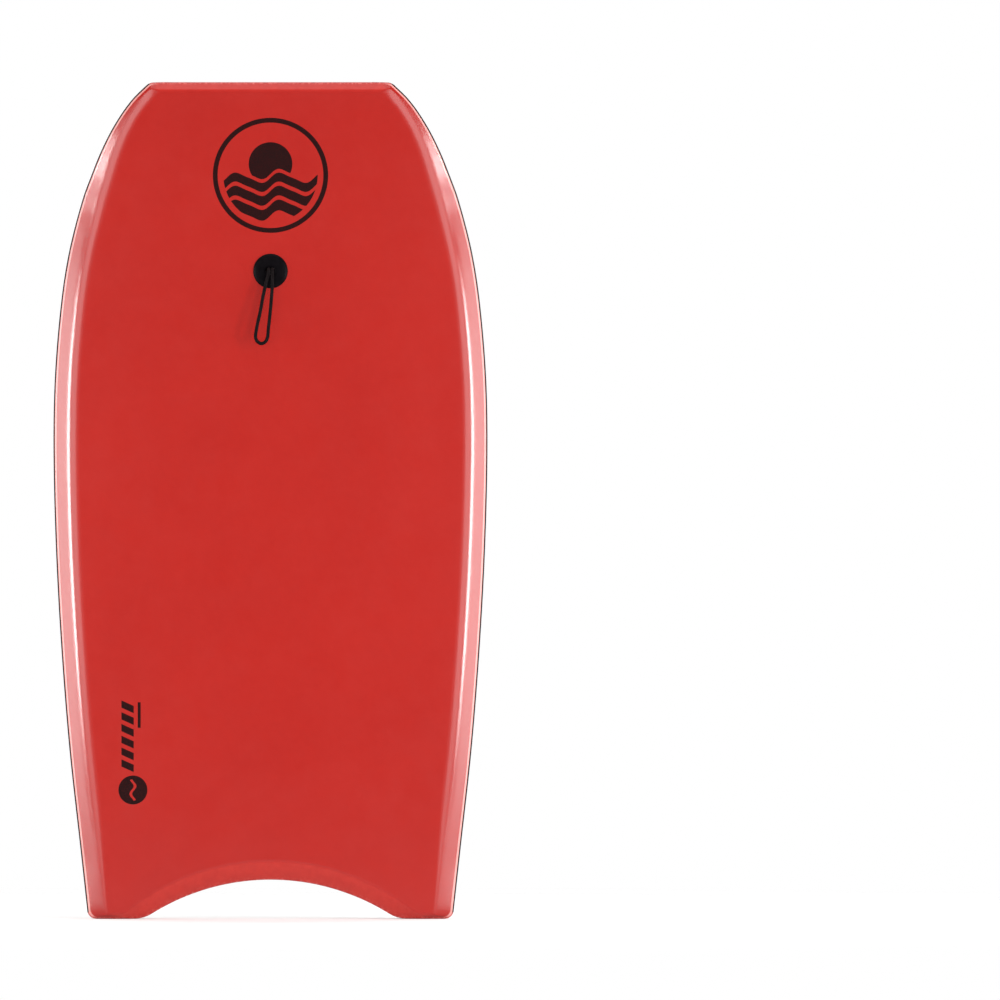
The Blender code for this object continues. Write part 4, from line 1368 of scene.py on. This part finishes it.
def floor_look():
    """Pale paper that fades out into the white world."""
    look = Look("floor_paper")
    rays = look.add("LightPath", {}).outputs
    # lighter to the eye than in what it throws back on the board
    lift = Signal(look, rays["Is Camera Ray"]) * 0.24
    look.finish(
        Base_Color=(0.74, 0.74, 0.735, 1.0), Roughness=0.7, Specular_IOR_Level=0.2,
        Emission_Color=WHITE, Emission_Strength=lift,
    )
    place = look.make("TexCoord", {}, "Object")
    length = look.make("VectorMath", {0: place}, "Value", operation="LENGTH")
    fade = length.fit(over=(0.7, 1.9), interpolation="SMOOTHERSTEP")
    clear = look.make("BsdfTransparent", {})
    # half as strong in the deck's sheen, so that the tail keeps its red
    sheen = Signal(look, rays["Is Glossy Ray"]) * 0.5
    paper = Signal(look, look.bsdf.outputs[0])
    mixed = look.make("MixShader", {0: fade.max(sheen), 1: paper, 2: clear})
    look.plug(look.nodes["Material Output"].inputs["Surface"], mixed)
    return look.material


def stage_floor():
    bm = bmesh.new()
    bmesh.ops.create_circle(bm, cap_ends=True, segments=96, radius=9.0)
    mesh = bpy.data.meshes.new("floor")
    bm.to_mesh(mesh)
    bm.free()
    ob = bpy.data.objects.new("floor", mesh)
    ob.location = (0.0, 0.0, -0.0004)
    bpy.context.scene.collection.objects.link(ob)
    mesh.materials.append(floor_look())


def stage_world():
    """White to the camera, and a dim fill light to everything else."""
    world = bpy.data.worlds.new("studio")
    bpy.context.scene.world = world
    world.use_nodes = True
    graph = Graph(world.node_tree)
    graph.nodes.clear()
    seen = graph.make("Background", {"Color": WHITE, "Strength": 1.0})
    light = graph.make("Background", {"Color": WHITE, "Strength": 0.21})
    camera_ray = graph.make("LightPath", {}, "Is Camera Ray")
    mixed = graph.make("MixShader", {0: camera_ray, 1: light, 2: seen})
    graph.add("OutputWorld", {0: mixed})


def softbox(name, azimuth, height, distance, size, watts, aim=0.5):
    """A softbox round the board, aimed at a height on its axis: azimuth 0 is in front of the
    deck, 90 is at +x."""
    angle = math.radians(azimuth)
    data = bpy.data.lights.new(name, "AREA")
    data.shape = "RECTANGLE"
    data.size, data.size_y = size
    data.energy = watts
    ob = bpy.data.objects.new(name, data)
    ob.location = (distance * math.sin(angle), -distance * math.cos(angle), height)
    target = Vector((0.0, 0.0, aim))
    ob.rotation_euler = (target - Vector(ob.location)).to_track_quat("-Z", "Y").to_euler()
    ob.visible_camera = False
    bpy.context.scene.collection.objects.link(ob)
    return ob


def softbox_pair(name, azimuth, **settings):
    """Equal softboxes on both sides; returns the left one."""
    softbox(name + "_right", azimuth, **settings)
    return softbox(name + "_left", -azimuth, **settings)


def stage_lights():
    key = softbox("key", azimuth=48.0, height=1.45, distance=2.3, size=(0.7, 0.7), watts=12.0)
    key.visible_glossy = False
    softbox_pair(
        "soft", azimuth=15.0, height=0.75, distance=2.4, size=(0.55, 1.6), watts=1.1, aim=0.65
    )
    softbox_pair(
        "front", azimuth=33.0, height=0.75, distance=2.4, size=(1.1, 1.6), watts=12.5, aim=0.65
    )
    strip_left = softbox_pair(
        "strip", azimuth=57.0, height=0.50, distance=2.4, size=(0.27, 0.86), watts=23.5
    )
    strip_left.data.use_shadow = False
    softbox_pair(
        "side", azimuth=72.5, height=0.50, distance=2.6, size=(0.76, 1.56), watts=18.5
    )
    back = {"distance": 2.6, "size": (1.4, 1.4), "watts": 23.0}
    softbox("back_right", azimuth=140.0, height=1.4, **back)
    softbox("back_left", azimuth=-140.0, height=1.2, **back)
    softbox(
        "overhead", azimuth=0.0, height=2.7, distance=0.15, size=(2.6, 2.6), watts=42.0, aim=0.0
    )
    softbox(
        "top_front", azimuth=0.0, height=2.6, distance=1.9, size=(1.8, 0.6), watts=3.0, aim=1.0
    )


def stage_camera():
    """A level view of the deck, tipped down a little, with the board left of the middle."""
    data = bpy.data.cameras.new("camera")
    data.type = "ORTHO"
    data.ortho_scale = 1.2139
    data.clip_start, data.clip_end = 0.05, 60.0
    ob = bpy.data.objects.new("camera", data)
    pitch = math.radians(1.2)
    distance = 4.0
    aim = Vector((0.2786, Y_SHIFT / 1000.0, 0.5086))
    forward = Vector((0.0, math.cos(pitch), -math.sin(pitch)))
    ob.location = aim - forward * distance
    ob.rotation_euler = forward.to_track_quat("-Z", "Y").to_euler()
    bpy.context.scene.collection.objects.link(ob)
    bpy.context.scene.camera = ob


stage_floor()
stage_world()
stage_lights()
stage_camera()
bpy.context.scene.view_settings.view_transform = "Standard"
